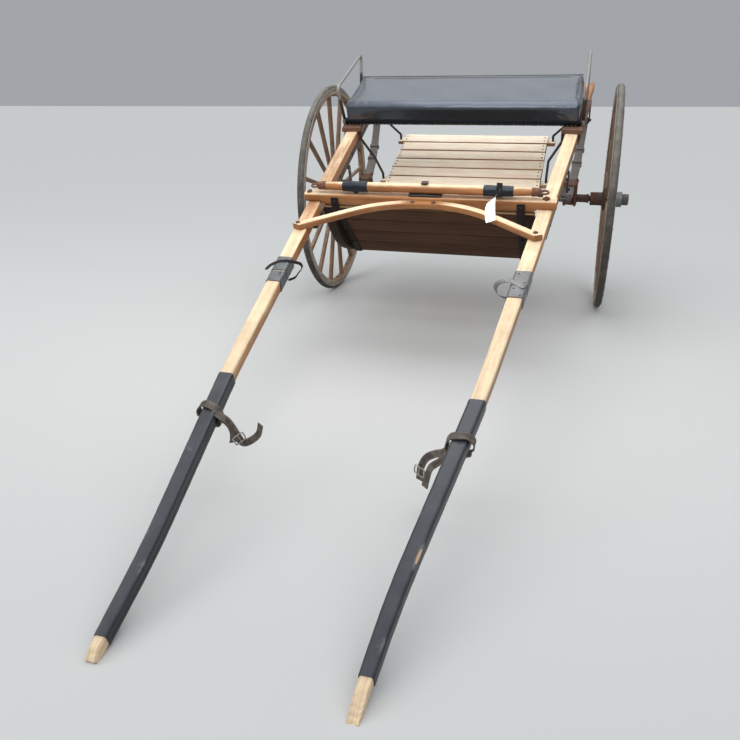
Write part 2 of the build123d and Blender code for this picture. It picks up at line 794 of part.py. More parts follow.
parked = {name: tip_forward(shape) for name, shape in level.items()}
ground = box(-shaft_length, shaft_length, -2 * shaft_length, shaft_length, -wheel_radius, 0)
for side in ("left", "right"):
    parked["shaft_" + side] = parked["shaft_" + side] - ground
front_y = min(parked["shaft_" + side].bounding_box().min.Y for side in ("left", "right"))
shift = -(front_y + wheel_radius) / 2
nodes = {name: Pos(0, shift, 0) * shape for name, shape in parked.items()}
for name, shape in wheel_parts.items():
    nodes[name + "_right"] = Pos(track_half, shift, wheel_radius) * shape
    nodes[name + "_left"] = Pos(-track_half, shift, wheel_radius) * mirror(shape, about=Plane.YZ)

print("tilt", round(tilt, 4), "axle y", round(shift, 4), "length", round(wheel_radius - front_y, 2))

os.makedirs("parts", exist_ok=True)
for name, shape in nodes.items():
    export_step(shape, "parts/" + name + ".step")
print(len(nodes), "pieces")
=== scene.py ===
import json
import math

import bpy
import numpy as np
from mathutils import Matrix, Vector


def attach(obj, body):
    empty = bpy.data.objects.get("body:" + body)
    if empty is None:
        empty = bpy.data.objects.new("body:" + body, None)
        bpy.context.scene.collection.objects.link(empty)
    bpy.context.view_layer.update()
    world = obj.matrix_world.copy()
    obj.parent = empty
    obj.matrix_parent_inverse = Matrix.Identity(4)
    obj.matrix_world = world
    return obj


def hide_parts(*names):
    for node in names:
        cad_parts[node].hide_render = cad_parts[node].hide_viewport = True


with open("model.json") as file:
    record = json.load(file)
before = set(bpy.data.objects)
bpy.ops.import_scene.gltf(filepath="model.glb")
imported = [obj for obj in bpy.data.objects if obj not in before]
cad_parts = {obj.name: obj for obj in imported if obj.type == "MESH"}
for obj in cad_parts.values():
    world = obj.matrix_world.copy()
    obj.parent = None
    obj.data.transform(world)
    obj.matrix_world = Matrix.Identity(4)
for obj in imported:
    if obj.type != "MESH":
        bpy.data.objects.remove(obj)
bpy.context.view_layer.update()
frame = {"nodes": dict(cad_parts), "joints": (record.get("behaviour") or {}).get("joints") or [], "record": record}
nodes = frame["nodes"]
print("frame loaded,", len(nodes), "nodes")

# The cart is drawn level, with its origin at the middle of the axle, and then tipped forward onto
# its shaft tips. The tilt and the axle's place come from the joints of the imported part.
joints = {joint["name"]: joint for joint in frame["joints"]}
axlePlace = np.array(joints["wheel_right_spin"]["pos_m"]) * (0, 1, 1)
trackHalf = joints["wheel_right_spin"]["pos_m"][0]
pivotAxis = joints["swingletree_pivot"]["axis"]
tiltSine = -pivotAxis[1]
tiltCosine = pivotAxis[2]
tiltTurn = np.array(((1, 0, 0), (0, tiltCosine, -tiltSine), (0, tiltSine, tiltCosine)))


def park(points):
    # Turned about the axle by the tilt, then lifted to the axle's height: p' = turn . p + axle
    return np.asarray(points, float) @ tiltTurn.T + axlePlace


# Camera and studio

cameraView = {"place": (0.632, -2.8088, 1.1736), "yaw": 16.367, "pitch": -22.071, "roll": -0.542, "lens": 35.03,
              "sensor": 36.0, "near": 0.05, "far": 200.0}
studio = {
    "world": (0.86, 0.90, 0.96), "worldPower": 0.42, "floor": (0.50, 0.50, 0.49), "floorHalf": 30.0, "floorRough": 0.95,
    # each lamp: kind, aim, power, colour, place, and the size of its square or the sun's spread in degrees
    "lamps": {
        "sky": ("SUN", (0.0, 0.12, -1.0), 2.5, (0.95, 0.98, 1.0), (0.0, 0.0, 0.0), 120.0),
        "side": ("AREA", (4.5, 2.5, -2.8), 60.0, (1.0, 0.98, 0.95), (-4.5, -2.5, 3.2), 3.0),
        "over": ("AREA", (0.0, 0.0, -1.0), 13.0, (1.0, 0.99, 0.97), (0.0, 0.55, 2.4), 1.4),
        "fill": ("AREA", (0.0, 1.4, -1.0), 10.0, (1.0, 0.98, 0.95), (0.0, -0.5, 1.7), 0.9),
    },
}


def setCamera(view):
    data = bpy.data.cameras.new("camera")
    data.lens = view["lens"]
    data.sensor_width = view["sensor"]
    data.clip_start = view["near"]
    data.clip_end = view["far"]
    camera = bpy.data.objects.new("camera", data)
    turn = (Matrix.Rotation(math.radians(view["yaw"]), 4, "Z")
            @ Matrix.Rotation(math.radians(90 + view["pitch"]), 4, "X")
            @ Matrix.Rotation(math.radians(view["roll"]), 4, "Z"))
    camera.matrix_world = Matrix.Translation(view["place"]) @ turn
    bpy.context.scene.collection.objects.link(camera)
    bpy.context.scene.camera = camera


def addLamp(name, kind, aim, power, colour, place, size):
    data = bpy.data.lights.new(name, kind)
    data.energy = power
    data.color = colour
    if kind == "SUN":
        data.angle = math.radians(size)
    else:
        data.size = size
    lamp = bpy.data.objects.new(name, data)
    lamp.location = place
    lamp.rotation_euler = Vector(aim).to_track_quat("-Z", "Y").to_euler()
    bpy.context.scene.collection.objects.link(lamp)


def setStudio(look):
    world = bpy.data.worlds.new("studio")
    world.use_nodes = True
    background = world.node_tree.nodes["Background"]
    background.inputs["Color"].default_value = (*look["world"], 1)
    background.inputs["Strength"].default_value = look["worldPower"]
    bpy.context.scene.world = world
    bpy.context.scene.view_settings.view_transform = "Standard"
    for name, lamp in look["lamps"].items():
        addLamp(name, *lamp)
    half = look["floorHalf"]
    mesh = bpy.data.meshes.new("studioFloor")
    mesh.from_pydata([(-half, -half, 0), (half, -half, 0), (half, half, 0), (-half, half, 0)], [], [(0, 1, 2, 3)])
    ground = bpy.data.objects.new("studioFloor", mesh)
    material = bpy.data.materials.new("studioFloor")
    material.use_nodes = True
    shader = material.node_tree.nodes["Principled BSDF"]
    shader.inputs["Base Color"].default_value = (*look["floor"], 1)
    shader.inputs["Roughness"].default_value = look["floorRough"]
    mesh.materials.append(material)
    bpy.context.scene.collection.objects.link(ground)


setCamera(cameraView)
setStudio(studio)
print("camera and studio set")


# Shader wires

class Wire:
    # A socket of a material's tree. Sums and products of wires and numbers add Math nodes.
    def __init__(self, tree, socket):
        self.tree = tree
        self.socket = socket

    def node(self, kind, settings, values, out=0):
        made = self.tree.nodes.new(kind)
        for name, setting in settings.items():
            setattr(made, name, setting)
        for name, value in values.items():
            if isinstance(value, Wire):
                self.tree.links.new(value.socket, made.inputs[name])
            else:
                made.inputs[name].default_value = value
        return Wire(self.tree, made.outputs[out])

    def math(self, operation, first, second=0.0):
        return self.node("ShaderNodeMath", {"operation": operation}, {0: first, 1: second})

    def __add__(self, other):
        return self.math("ADD", self, other)

    def __radd__(self, other):
        return self.math("ADD", other, self)

    def __sub__(self, other):
        return self.math("SUBTRACT", self, other)

    def __rsub__(self, other):
        return self.math("SUBTRACT", other, self)

    def __mul__(self, other):
        return self.math("MULTIPLY", self, other)

    def __rmul__(self, other):
        return self.math("MULTIPLY", other, self)

    def step(self, low, high):
        # 0 below low, 1 above high and a smooth rise between them
        return self.node("ShaderNodeMapRange", {"interpolation_type": "SMOOTHSTEP"},
                         {"Value": self, "From Min": low, "From Max": high})

    def blend(self, first, second):
        # First colour where this wire is 0, second where it is 1
        return self.node("ShaderNodeMix", {"data_type": "RGBA"}, {0: self, 6: first, 7: second}, 2)

    def stretch(self, x, y, z):
        return self.node("ShaderNodeVectorMath", {"operation": "MULTIPLY"}, {0: self, 1: (x, y, z)})

    def shift(self, other):
        return self.node("ShaderNodeVectorMath", {"operation": "ADD"}, {0: self, 1: other})

    def noise(self, scale, detail, rough):
        return self.node("ShaderNodeTexNoise", {},
                         {"Vector": self, "Scale": scale, "Detail": detail, "Roughness": rough})

    def cells(self, scale, feature="F1"):
        return self.node("ShaderNodeTexVoronoi", {"feature": feature}, {"Vector": self, "Scale": scale}, "Distance")

    def bump(self, strength, distance):
        return self.node("ShaderNodeBump", {}, {"Strength": strength, "Distance": distance, "Height": self})


def tint(red, green, blue):
    # Screen colour, 0 to 255, to the linear colour that the shader takes
    share = np.array((red, green, blue)) / 255
    linear = np.where(share <= 0.04045, share / 12.92, ((share + 0.055) / 1.055) ** 2.4)
    return (*[float(part) for part in linear], 1.0)


class Finish:
    # A new material: its shader, and wires for place, map, board number, wear and share facing up
    def __init__(self, name):
        self.material = bpy.data.materials.new(name)
        self.material.use_nodes = True
        tree = self.material.node_tree
        self.shader = tree.nodes["Principled BSDF"]
        coordinates = tree.nodes.new("ShaderNodeTexCoord")
        self.place = Wire(tree, coordinates.outputs["Object"])
        self.chart = Wire(tree, coordinates.outputs["UV"])
        facing = Wire(tree, coordinates.outputs["Normal"])
        self.upward = facing.node("ShaderNodeSeparateXYZ", {}, {0: facing}, "Z")
        self.board = facing.node("ShaderNodeAttribute", {"attribute_name": "board"}, {}, "Fac")
        self.worn = facing.node("ShaderNodeAttribute", {"attribute_name": "wear"}, {}, "Fac")

    def plug(self, **wires):
        names = {"colour": "Base Color", "rough": "Roughness", "normal": "Normal"}
        for name, wire in wires.items():
            wire.tree.links.new(wire.socket, self.shader.inputs[names[name]])

    def fix(self, **values):
        names = {"metal": "Metallic", "specular": "Specular IOR Level", "coat": "Coat Weight",
                 "coatRough": "Coat Roughness"}
        for name, value in values.items():
            self.shader.inputs[names[name]].default_value = value


def woodFinish(name, look):
    # Grain runs along the map's second direction. Varnish has gone where the wood is worn, and the wood is drawn paler
    # where it faces up: partly bleached, bare wood and partly painted top light. Varnish is kept where the wear is
    # negative.
    finish = Finish(name)
    spread = finish.board.node("ShaderNodeCombineXYZ", {},
                               {0: finish.board * 7.3, 1: finish.board * 3.1, 2: finish.board * 5.7})
    streak = finish.chart.stretch(look["across"], look["along"], 1).shift(spread).noise(1.0, 7.0, 0.62)
    fibre = finish.chart.stretch(look["across"] * 9, look["along"] * 5, 1).shift(spread).noise(1.0, 3.0, 0.6)
    cloud = finish.place.shift(spread).noise(look["cloud"], 5.0, 0.6)
    fleck = finish.place.noise(look["cloud"] * 14, 5.0, 0.7)
    # the facing-up share pales the tops: partly bleaching, partly painted top light
    wornAndLit = finish.upward * look["topFade"] + cloud * 0.9 + streak * 0.7 + fleck * 0.5 + finish.worn - look["keep"]
    bare = wornAndLit.step(0.0, 0.85)
    soiled = (finish.place.noise(look["cloud"] * 5, 6.0, 0.7) + streak * 0.5).step(0.92, 0.60) * look["grime"]
    pick = finish.board * 1.7
    toned = (pick.math("FRACT", pick) + cloud * 0.3) * look["boards"]
    shine = (cloud * 0.5 + streak * 0.5).step(0.36, 0.62).blend(look["varnished"], look["other"])
    base = bare.blend(toned.blend(shine, look["other"]), look["bare"])
    pores = 1 - (streak * 0.55 + fibre * 0.45).step(0.36, 0.58)
    base = (pores * look["lines"] * (1 - bare * 0.55)).blend(base, look["dark"])
    base = soiled.blend(base, look["soil"])
    rough = look["gloss"] + bare * (look["rough"] - look["gloss"]) + pores * 0.08
    height = streak * 0.6 + fibre * 0.4
    finish.plug(colour=base, rough=rough, normal=height.bump(look["relief"], 0.0012))
    finish.fix(specular=look["specular"])
    return finish.material


def ironFinish(name, look):
    # Paint or scale over rust: rust breaks through in patches, dust lies on what faces up
    finish = Finish(name)
    patch = finish.place.noise(look["patch"], 8.0, 0.66)
    grit = finish.place.noise(look["patch"] * 14, 4.0, 0.7)
    speck = finish.place.noise(look["patch"] * 4, 6.0, 0.75)
    rusted = (patch * 0.7 + speck * 0.3 + look["rustShare"] - 0.5).step(0.44, 0.56)
    topCover = (finish.upward * 0.55 + speck * 0.9 - 0.62).step(0.0, 0.8) * look["dust"]
    rust = speck.step(0.34, 0.66).blend(look["rustDark"], look["rust"])
    paint = (grit * 0.7 + patch * 0.3 + finish.worn).step(0.34, 0.68).blend(look["paint"], look["paintWorn"])
    base = rusted.blend(paint, rust)
    base = topCover.blend(base, look["dustColour"])
    rough = look["gloss"] + rusted * (0.88 - look["gloss"]) + topCover * 0.15
    height = grit * 0.5 + speck * 0.3 + rusted * 0.4
    finish.plug(colour=base, rough=rough, normal=height.bump(look["relief"], 0.0008))
    finish.fix(metal=look["metal"], specular=look["specular"])
    return finish.material


def vinylFinish(name, look):
    # Fine leather grain under a clear shine. Wear is first a grey scuff, then bare wood.
    finish = Finish(name)
    grain = finish.place.cells(look["grain"]) * 0.6 + finish.place.cells(look["grain"] * 0.45) * 0.4
    cloud = finish.place.noise(9.0, 5.0, 0.6)
    streak = finish.place.noise(60.0, 5.0, 0.7)
    # what faces up is mixed toward the top colour: dust, and on the black seat vinyl also a painted bluish sky sheen
    topCover = (finish.upward * 0.5 + cloud * 0.9 - 0.55).step(0.0, 1.0) * look["dust"]
    scuffed = (finish.worn + streak * 0.5).step(0.36, 0.62)
    torn = (finish.worn + streak * 0.35).step(0.86, 0.94)
    base = topCover.blend(look["colour"], look["dustColour"])
    base = (scuffed * 0.8).blend(base, look["scuff"])
    base = torn.blend(base, look["wood"])
    rough = look["gloss"] + cloud * 0.12 + topCover * 0.1 + scuffed * 0.25
    height = grain + cloud * 1.5
    finish.plug(colour=base, rough=rough, normal=height.bump(look["relief"], 0.0006))
    finish.fix(specular=look["specular"], coat=look["coat"], coatRough=look["coatRough"])
    finish.shader.inputs["Specular Tint"].default_value = look["sheen"]
    return finish.material


def rubberFinish(name, look):
    # Dusty rubber with scrapes that run round the wheel, paler where it faces up: a painted top light
    finish = Finish(name)
    scrape = finish.chart.stretch(240, 6, 1).noise(1.0, 6.0, 0.65)
    cloud = finish.place.noise(16.0, 7.0, 0.65)
    grit = finish.place.noise(420.0, 3.0, 0.6)
    # the upward share lightens the top of each wheel: painted top light
    base = (cloud * 0.5 + scrape * 0.4 + finish.upward * 0.14).step(0.34, 0.66).blend(look["dark"], look["light"])
    height = scrape * 0.5 + grit * 0.5
    finish.plug(colour=base, rough=0.72 + grit * 0.2, normal=height.bump(0.35, 0.001))
    return finish.material


def leatherFinish(name, look):
    # Creased harness leather, dark where it bends and pale where it is rubbed
    finish = Finish(name)
    crease = finish.chart.stretch(60, 180, 1).noise(1.0, 6.0, 0.7)
    crack = finish.place.cells(260.0, "DISTANCE_TO_EDGE").step(0.0, 0.09)
    cloud = finish.place.noise(24.0, 6.0, 0.6)
    rubbed = (cloud * 0.7 + crease * 0.3).step(0.42, 0.62)
    base = rubbed.blend(look["dark"], look["light"])
    base = ((1 - crack) * 0.5).blend(base, look["crack"])
    height = crack * 0.6 + crease * 0.4
    finish.plug(colour=base, rough=0.45 + rubbed * 0.3, normal=height.bump(0.5, 0.0008))
    return finish.material


def clothFinish(name, look):
    # A plain small finish for string, stitches and paper: fibres across the place
    finish = Finish(name)
    fibre = finish.place.noise(look["fibre"], 4.0, 0.7)
    cloud = finish.place.noise(30.0, 3.0, 0.5)
    base = (fibre * 0.5 + cloud * 0.5).step(0.35, 0.65).blend(look["dark"], look["light"])
    finish.plug(colour=base, rough=0.8 + fibre * 0.1, normal=fibre.bump(0.3, 0.0003))
    return finish.material


def lookTable(columns, rows):
    # A dictionary of settings for each row, where a triple is a screen colour
    looks = {}
    for name, row in rows.items():
        values = [tint(*value) if isinstance(value, tuple) else value for value in row]
        looks[name] = dict(zip(columns.split(), values))
    return looks


# each row's facing-up weight draws the upward faces paler: partly bleaching, partly painted top light
woodLooks = lookTable(
    "bare varnished other dark soil across along cloud topFade "
    "keep grime boards lines gloss rough relief specular", {
    "varnishedWood": ((224, 201, 168), (200, 138, 84), (122, 74, 40), (120, 74, 40), (150, 112, 80), 90, 3.2, 2.2,
                      1.6, 1.45, 0.25, 0.2, 0.6, 0.4, 0.7, 0.3, 0.3),
    "wheelWood": ((200, 182, 162), (158, 126, 100), (122, 92, 70), (84, 62, 48), (74, 60, 50), 80, 6.0, 3.0, 0.4,
                  1.15, 0.45, 0.5, 0.5, 0.45, 0.75, 0.35, 0.22),
    "weatheredWood": ((255, 242, 220), (178, 140, 112), (124, 88, 64), (176, 122, 86), (226, 182, 146), 70, 2.6, 2.0,
                      1.4, 1.15, 0.25, 0.4, 0.5, 0.6, 0.85, 0.5, 0.25),
    "darkWood": ((156, 126, 94), (74, 47, 28), (84, 53, 31), (40, 26, 17), (58, 41, 28), 70, 2.6, 2.4, 0.5, 1.75, 0.4,
                 0.5, 0.6, 0.6, 0.82, 0.4, 0.14),
})
woodLooks["ribWood"] = {**woodLooks["darkWood"], "varnished": tint(32, 22, 16), "other": tint(44, 31, 22),
                        "bare": tint(72, 54, 40), "relief": 0.8}
ironLooks = lookTable("paint paintWorn rust rustDark dustColour patch rustShare dust gloss metal relief specular", {
    "greySteel": ((126, 126, 124), (158, 157, 154), (112, 84, 66), (78, 60, 50), (172, 168, 160), 16.0, 0.42, 0.5,
                  0.5, 0.35, 0.3, 0.5),
    "greyPaint": ((92, 85, 82), (122, 114, 110), (98, 72, 58), (64, 50, 44), (140, 132, 124), 14.0, 0.4, 0.4, 0.46,
                  0.1, 0.3, 0.5),
    "paleSteel": ((80, 80, 82), (128, 128, 128), (96, 82, 72), (74, 64, 57), (120, 119, 116), 22.0, 0.31, 0.3, 0.42,
                  0.45, 0.25, 0.5),
    "wornSteel": ((60, 62, 64), (116, 122, 127), (74, 62, 54), (46, 41, 38), (128, 128, 126), 24.0, 0.41, 0.4, 0.42,
                  0.4, 0.3, 0.5),
    "rustyIron": ((78, 60, 52), (106, 84, 72), (124, 82, 60), (84, 56, 44), (146, 126, 112), 18.0, 0.54, 0.35, 0.6,
                  0.2, 0.6, 0.5),
    "hubIron": ((56, 43, 38), (80, 63, 55), (94, 62, 46), (58, 40, 32), (118, 102, 92), 18.0, 0.5, 0.25, 0.6, 0.2,
                0.6, 0.5),
    "blackIron": ((38, 34, 32), (60, 54, 50), (88, 60, 46), (56, 42, 34), (108, 100, 92), 16.0, 0.4, 0.3, 0.42, 0.2,
                  0.4, 0.5),
    "hubSteel": ((66, 60, 60), (90, 84, 84), (96, 70, 56), (66, 50, 42), (132, 126, 120), 16.0, 0.42, 0.3, 0.5, 0.3,
                 0.3, 0.5),
    "railPaint": ((50, 43, 38), (78, 69, 62), (82, 60, 48), (54, 42, 36), (108, 100, 92), 14.0, 0.42, 0.25, 0.55,
                  0.05, 0.3, 0.5),
    "strapIron": ((27, 21, 20), (46, 37, 35), (54, 38, 31), (34, 25, 22), (70, 62, 57), 16.0, 0.4, 0.15, 0.7, 0.0,
                  0.5, 0.2),
    # armSteel's pale worn colour is rubbed paint and also the painted top light on the arm rails
    "armSteel": ((46, 41, 39), (136, 134, 130), (86, 64, 52), (54, 42, 36), (150, 148, 143), 16.0, 0.36, 0.2, 0.42,
                 0.3, 0.3, 0.5),
    "brightSteel": ((150, 148, 142), (188, 186, 180), (110, 84, 64), (82, 62, 50), (170, 166, 158), 30.0, 0.36, 0.3,
                    0.32, 0.8, 0.3, 0.5),
})
# blackVinyl's bluish top colour is dust together with a painted sky sheen on the seat's top
vinylLooks = lookTable("colour dustColour scuff wood grain dust gloss relief specular sheen coat coatRough", {
    "blackVinyl": ((18, 19, 21), (98, 108, 122), (92, 96, 102), (196, 160, 118), 620.0, 0.35, 0.28, 0.15, 0.95,
                   (212, 228, 255), 0.65, 0.2),
    "sleeveVinyl": ((27, 28, 31), (88, 92, 96), (104, 105, 105), (200, 166, 124), 500.0, 0.7, 0.42, 0.35, 0.5,
                    (232, 240, 252), 0.12, 0.3),
    "blackTape": ((22, 23, 25), (66, 72, 78), (80, 82, 84), (196, 160, 118), 900.0, 0.2, 0.34, 0.2, 0.35,
                  (212, 228, 255), 0.12, 0.25),
})
vinylLooks["foldVinyl"] = {**vinylLooks["blackVinyl"], "dust": 0.1, "gloss": 0.5, "specular": 0.2, "coat": 0.0}
finishes = {name: woodFinish(name, look) for name, look in woodLooks.items()}
finishes.update({name: ironFinish(name, look) for name, look in ironLooks.items()})
finishes.update({name: vinylFinish(name, look) for name, look in vinylLooks.items()})
finishes["solidRubber"] = rubberFinish("solidRubber", {"dark": tint(56, 51, 45), "light": tint(114, 110, 103)})
finishes["brownLeather"] = leatherFinish("brownLeather", {
    "dark": tint(54, 44, 37), "light": tint(112, 101, 90), "crack": tint(32, 27, 23)})
finishes["paper"] = clothFinish("paper", {"dark": tint(228, 226, 220), "light": tint(246, 245, 240), "fibre": 700.0})
finishes["thread"] = clothFinish("thread", {"dark": tint(112, 98, 80), "light": tint(164, 150, 128), "fibre": 900.0})
print("finishes mixed,", len(finishes))

# Where a CAD node is shown, it takes the finish named as its record slot, such as greySteel for grey_steel
for subpart in frame["record"]["subparts"]:
    first, *others = subpart["material_slot"].split("_")
    node = nodes[subpart["node"]]
    node.data.materials.clear()
    node.data.materials.append(finishes[first + "".join(word.capitalize() for word in others)])
print("CAD nodes dressed")

# Mesh making

def runningLength(steps):
    # Zero, then the sum of the steps so far
    return np.concatenate(([0.0], np.cumsum(steps)))


def roundedOutline(width, height, radius, steps=3):
    # A rounded rectangle: four corner centres, each plus a quarter turn of the radius
    quarter = np.linspace(0, np.pi / 2, steps + 1)
    angle = (quarter + np.arange(4)[:, None] * np.pi / 2).ravel()
    right = np.repeat((1, -1, -1, 1), steps + 1)
    above = np.repeat((1, 1, -1, -1), steps + 1)
    width, height, radius = [np.asarray(value, float)[..., None] for value in (width, height, radius)]
    x = right * (width / 2 - radius) + radius * np.cos(angle)
    y = above * (height / 2 - radius) + radius * np.sin(angle)
    return np.stack(np.broadcast_arrays(x, y), -1)


def ovalOutline(halfWidth, halfHeight, power, count):
    # A superellipse: cosine and sine of the turn, each raised to 2 over the power with its sign kept
    turn = np.linspace(0, 2 * np.pi, count, endpoint=False)
    halfWidth, halfHeight, power = [np.asarray(value, float)[..., None] for value in (halfWidth, halfHeight, power)]
    x = halfWidth * np.sign(np.cos(turn)) * np.abs(np.cos(turn)) ** (2 / power)
    y = halfHeight * np.sign(np.sin(turn)) * np.abs(np.sin(turn)) ** (2 / power)
    return np.stack(np.broadcast_arrays(x, y), -1)


def carry(path, outline, across, up):
    # Each outline point (a, b) at each path point p gives p + a * across + b * up
    path = np.asarray(path, float)
    across = np.broadcast_to(np.asarray(across, float), path.shape)
    up = np.broadcast_to(np.asarray(up, float), path.shape)
    outline = np.broadcast_to(outline, (len(path),) + outline.shape[-2:])
    return path[:, None] + outline[..., :1] * across[:, None] + outline[..., 1:] * up[:, None]


def unit(vectors):
    return vectors / np.linalg.norm(vectors, axis=-1, keepdims=True)


def follow(path, outline, level):
    # Carries an outline square to a path. Up is the level direction turned square to the path.
    heading = unit(np.gradient(path, axis=0))
    across = unit(np.cross(heading, np.broadcast_to(np.asarray(level, float), heading.shape)))
    return carry(path, outline, across, np.cross(across, heading))


def bentPath(points, reach, count):
    # Straight runs whose corners become quadratic curves that start and end one reach from the corner
    points = np.asarray(points, float)
    before = unit(points[:-2] - points[1:-1]) * reach
    after = unit(points[2:] - points[1:-1]) * reach
    t = np.linspace(0, 1, count)[:, None]
    curves = [corner + (1 - t) ** 2 * back + t ** 2 * ahead for corner, back, ahead in zip(points[1:-1], before, after)]
    return np.concatenate([points[:1], *curves, points[-1:]])


def evenly(path, step):
    # The same path with points a step apart
    length = runningLength(np.linalg.norm(np.diff(path, axis=0), axis=1))
    places = np.linspace(0, length[-1], max(2, int(length[-1] / step)) + 1)
    return np.stack([np.interp(places, length, path[:, axis]) for axis in range(3)], -1)


def smoothThrough(points, count):
    # A Catmull-Rom curve: through every point, its slope at each taken from the neighbours
    points = np.asarray(points, float)
    ends = np.concatenate((2 * points[:1] - points[1:2], points, 2 * points[-1:] - points[-2:-1]))
    place = np.linspace(0, len(points) - 1 - 1e-9, count)
    k = place.astype(int)
    t = (place - k)[:, None]
    a, b, c, d = [ends[k + step] for step in range(4)]
    return 0.5 * (2 * b + (c - a) * t + (2 * a - 5 * b + 4 * c - d) * t ** 2 + (3 * b - a - 3 * c + d) * t ** 3)


def edgeWear(steps, amount):
    # Wear on the rounded corners of a rounded outline, none on its flat faces
    corner = np.full(steps + 1, amount)
    corner[[0, -1]] = 0.0
    return np.tile(corner, 4)


def lathe(profile, count, centre=(0, 0, 0), turns=None):
    # Profile points (x, r) turned round the X axis: (x, r cos a, r sin a) + centre
    angle = np.linspace(0, 2 * np.pi, count, endpoint=False) if turns is None else turns
    x, r = np.asarray(profile, float).T
    level = np.repeat(x[:, None], len(angle), 1)
    return np.stack((level, r[:, None] * np.cos(angle), r[:, None] * np.sin(angle)), -1) + centre


def shell(points, ring=False, tone=0.0, wear=0.0):
    # A grid of points, rows along and columns around, as faces with a map in metres. A ring also joins
    # its last row to its first, and any other grid gets a fan on each end. Faces turn outwards.
    rows, columns = points.shape[:2]
    ids = np.arange(rows * columns).reshape(rows, columns)
    below = np.roll(ids, -1, 0)
    beside = np.roll(ids, -1, 1)
    quads = np.stack((ids, beside, np.roll(below, -1, 1), below), -1)[:rows if ring else rows - 1]
    u = runningLength(np.linalg.norm(np.roll(points, -1, 1) - points, axis=2).mean(0))
    v = runningLength(np.linalg.norm(np.roll(points, -1, 0) - points, axis=2).mean(1))
    i, j = np.indices(quads.shape[:2])
    quadChart = np.stack([np.stack((u[j + a], v[i + b]), -1) for a, b in ((0, 0), (1, 0), (1, 1), (0, 1))], -2)
    corners = points.reshape(-1, 3)
    tones, wears = [np.broadcast_to(value, (rows, columns)).ravel() for value in (tone, wear)]
    fans = np.zeros((0, 3), int)
    fanChart = np.zeros((0, 3, 2))
    if not ring:
        middles = points[[0, -1]].mean(1)
        first = np.stack((beside[0], ids[0], np.full(columns, len(corners))), -1)
        last = np.stack((ids[-1], beside[-1], np.full(columns, len(corners) + 1)), -1)
        fans = np.concatenate((first, last))
        corners = np.concatenate((corners, middles))
        tones = np.append(tones, (tones[0], tones[-1]))
        wears = np.append(wears, (wears[0], wears[-1]))
        fanChart = corners[fans][..., (0, 2)] * (1, 0.02)
    quads, quadChart = quads.reshape(-1, 4), quadChart.reshape(-1, 4, 2)
    a, b, c, d = [corners[quads[:, k]] - corners[0] for k in range(4)]
    volume = (a * np.cross(b, c)).sum() + (a * np.cross(c, d)).sum()
    if len(fans):
        a, b, c = [corners[fans[:, k]] - corners[0] for k in range(3)]
        volume += (a * np.cross(b, c)).sum()
    if volume < 0:
        quads, quadChart, fans, fanChart = quads[:, ::-1], quadChart[:, ::-1], fans[:, ::-1], fanChart[:, ::-1]
    return {"corners": corners, "quads": quads, "quadChart": quadChart, "fans": fans, "fanChart": fanChart,
            "tones": tones, "wears": wears}


def makePiece(name, shells, finish, stands=(), body="frame", level=True, sharp=38.0):
    # Joins the shells to one mesh, puts it in its place and on its body, and hides what it stands for
    offsets = np.cumsum([0] + [len(part["corners"]) for part in shells[:-1]])
    corners = np.concatenate([part["corners"] for part in shells])
    if level:
        corners = park(corners)
    corners[:, 2] = np.maximum(corners[:, 2], 0.0)
    quads = np.concatenate([part["quads"] + offset for part, offset in zip(shells, offsets)])
    fans = np.concatenate([part["fans"] + offset for part, offset in zip(shells, offsets)])
    chart = np.concatenate([part[kind].reshape(-1, 2) for kind in ("quadChart", "fanChart") for part in shells])
    loops = np.concatenate((quads.ravel(), fans.ravel())).astype(np.int32)
    sizes = np.concatenate((np.full(len(quads), 4), np.full(len(fans), 3)))
    mesh = bpy.data.meshes.new(name)
    mesh.vertices.add(len(corners))
    mesh.vertices.foreach_set("co", corners.astype(np.float32).ravel())
    mesh.loops.add(len(loops))
    mesh.loops.foreach_set("vertex_index", loops)
    mesh.polygons.add(len(sizes))
    mesh.polygons.foreach_set("loop_start", runningLength(sizes)[:-1].astype(np.int32))
    mesh.update(calc_edges=True)
    mesh.uv_layers.new(name="grainMap").data.foreach_set("uv", chart.astype(np.float32).ravel())
    for attribute, key in (("board", "tones"), ("wear", "wears")):
        values = np.concatenate([part[key] for part in shells]).astype(np.float32)
        mesh.attributes.new(attribute, "FLOAT", "POINT").data.foreach_set("value", values)
    mesh.shade_smooth()
    mesh.set_sharp_from_angle(angle=math.radians(sharp))
    if mesh.validate():
        print("mesh mended:", name)
    mesh.materials.append(finishes[finish])
    piece = bpy.data.objects.new(name, mesh)
    bpy.context.scene.collection.objects.link(piece)
    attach(piece, body)
    if stands:
        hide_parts(*stands)
    return piece


sides = {"left": -1.0, "right": 1.0}


def bar(start, end, across, up, width, depth, round, rows, soften=0.002):
    # A straight bar between two points, its ends drawn in by a little for a softened edge
    share = np.concatenate(([0.0], np.linspace(0, 1, rows), [1.0]))[:, None]
    start, end = np.asarray(start, float), np.asarray(end, float)
    path = start + share * (end - start)
    inset = np.zeros(rows + 2)
    inset[[0, -1]] = soften
    heading = unit(end - start)
    path[1] += heading * soften
    path[-2] -= heading * soften
    outline = roundedOutline(width - 2 * inset, depth - 2 * inset, round - inset * 0.5)
    return carry(path, outline, across, up)


def crossBeam(half, y, z, width, depth, round, rows, soften=0.002):
    # A bar across the cart, as far out on both sides
    return bar((-half, y, z), (half, y, z), (0, 1, 0), (0, 0, 1), width, depth, round, rows, soften)


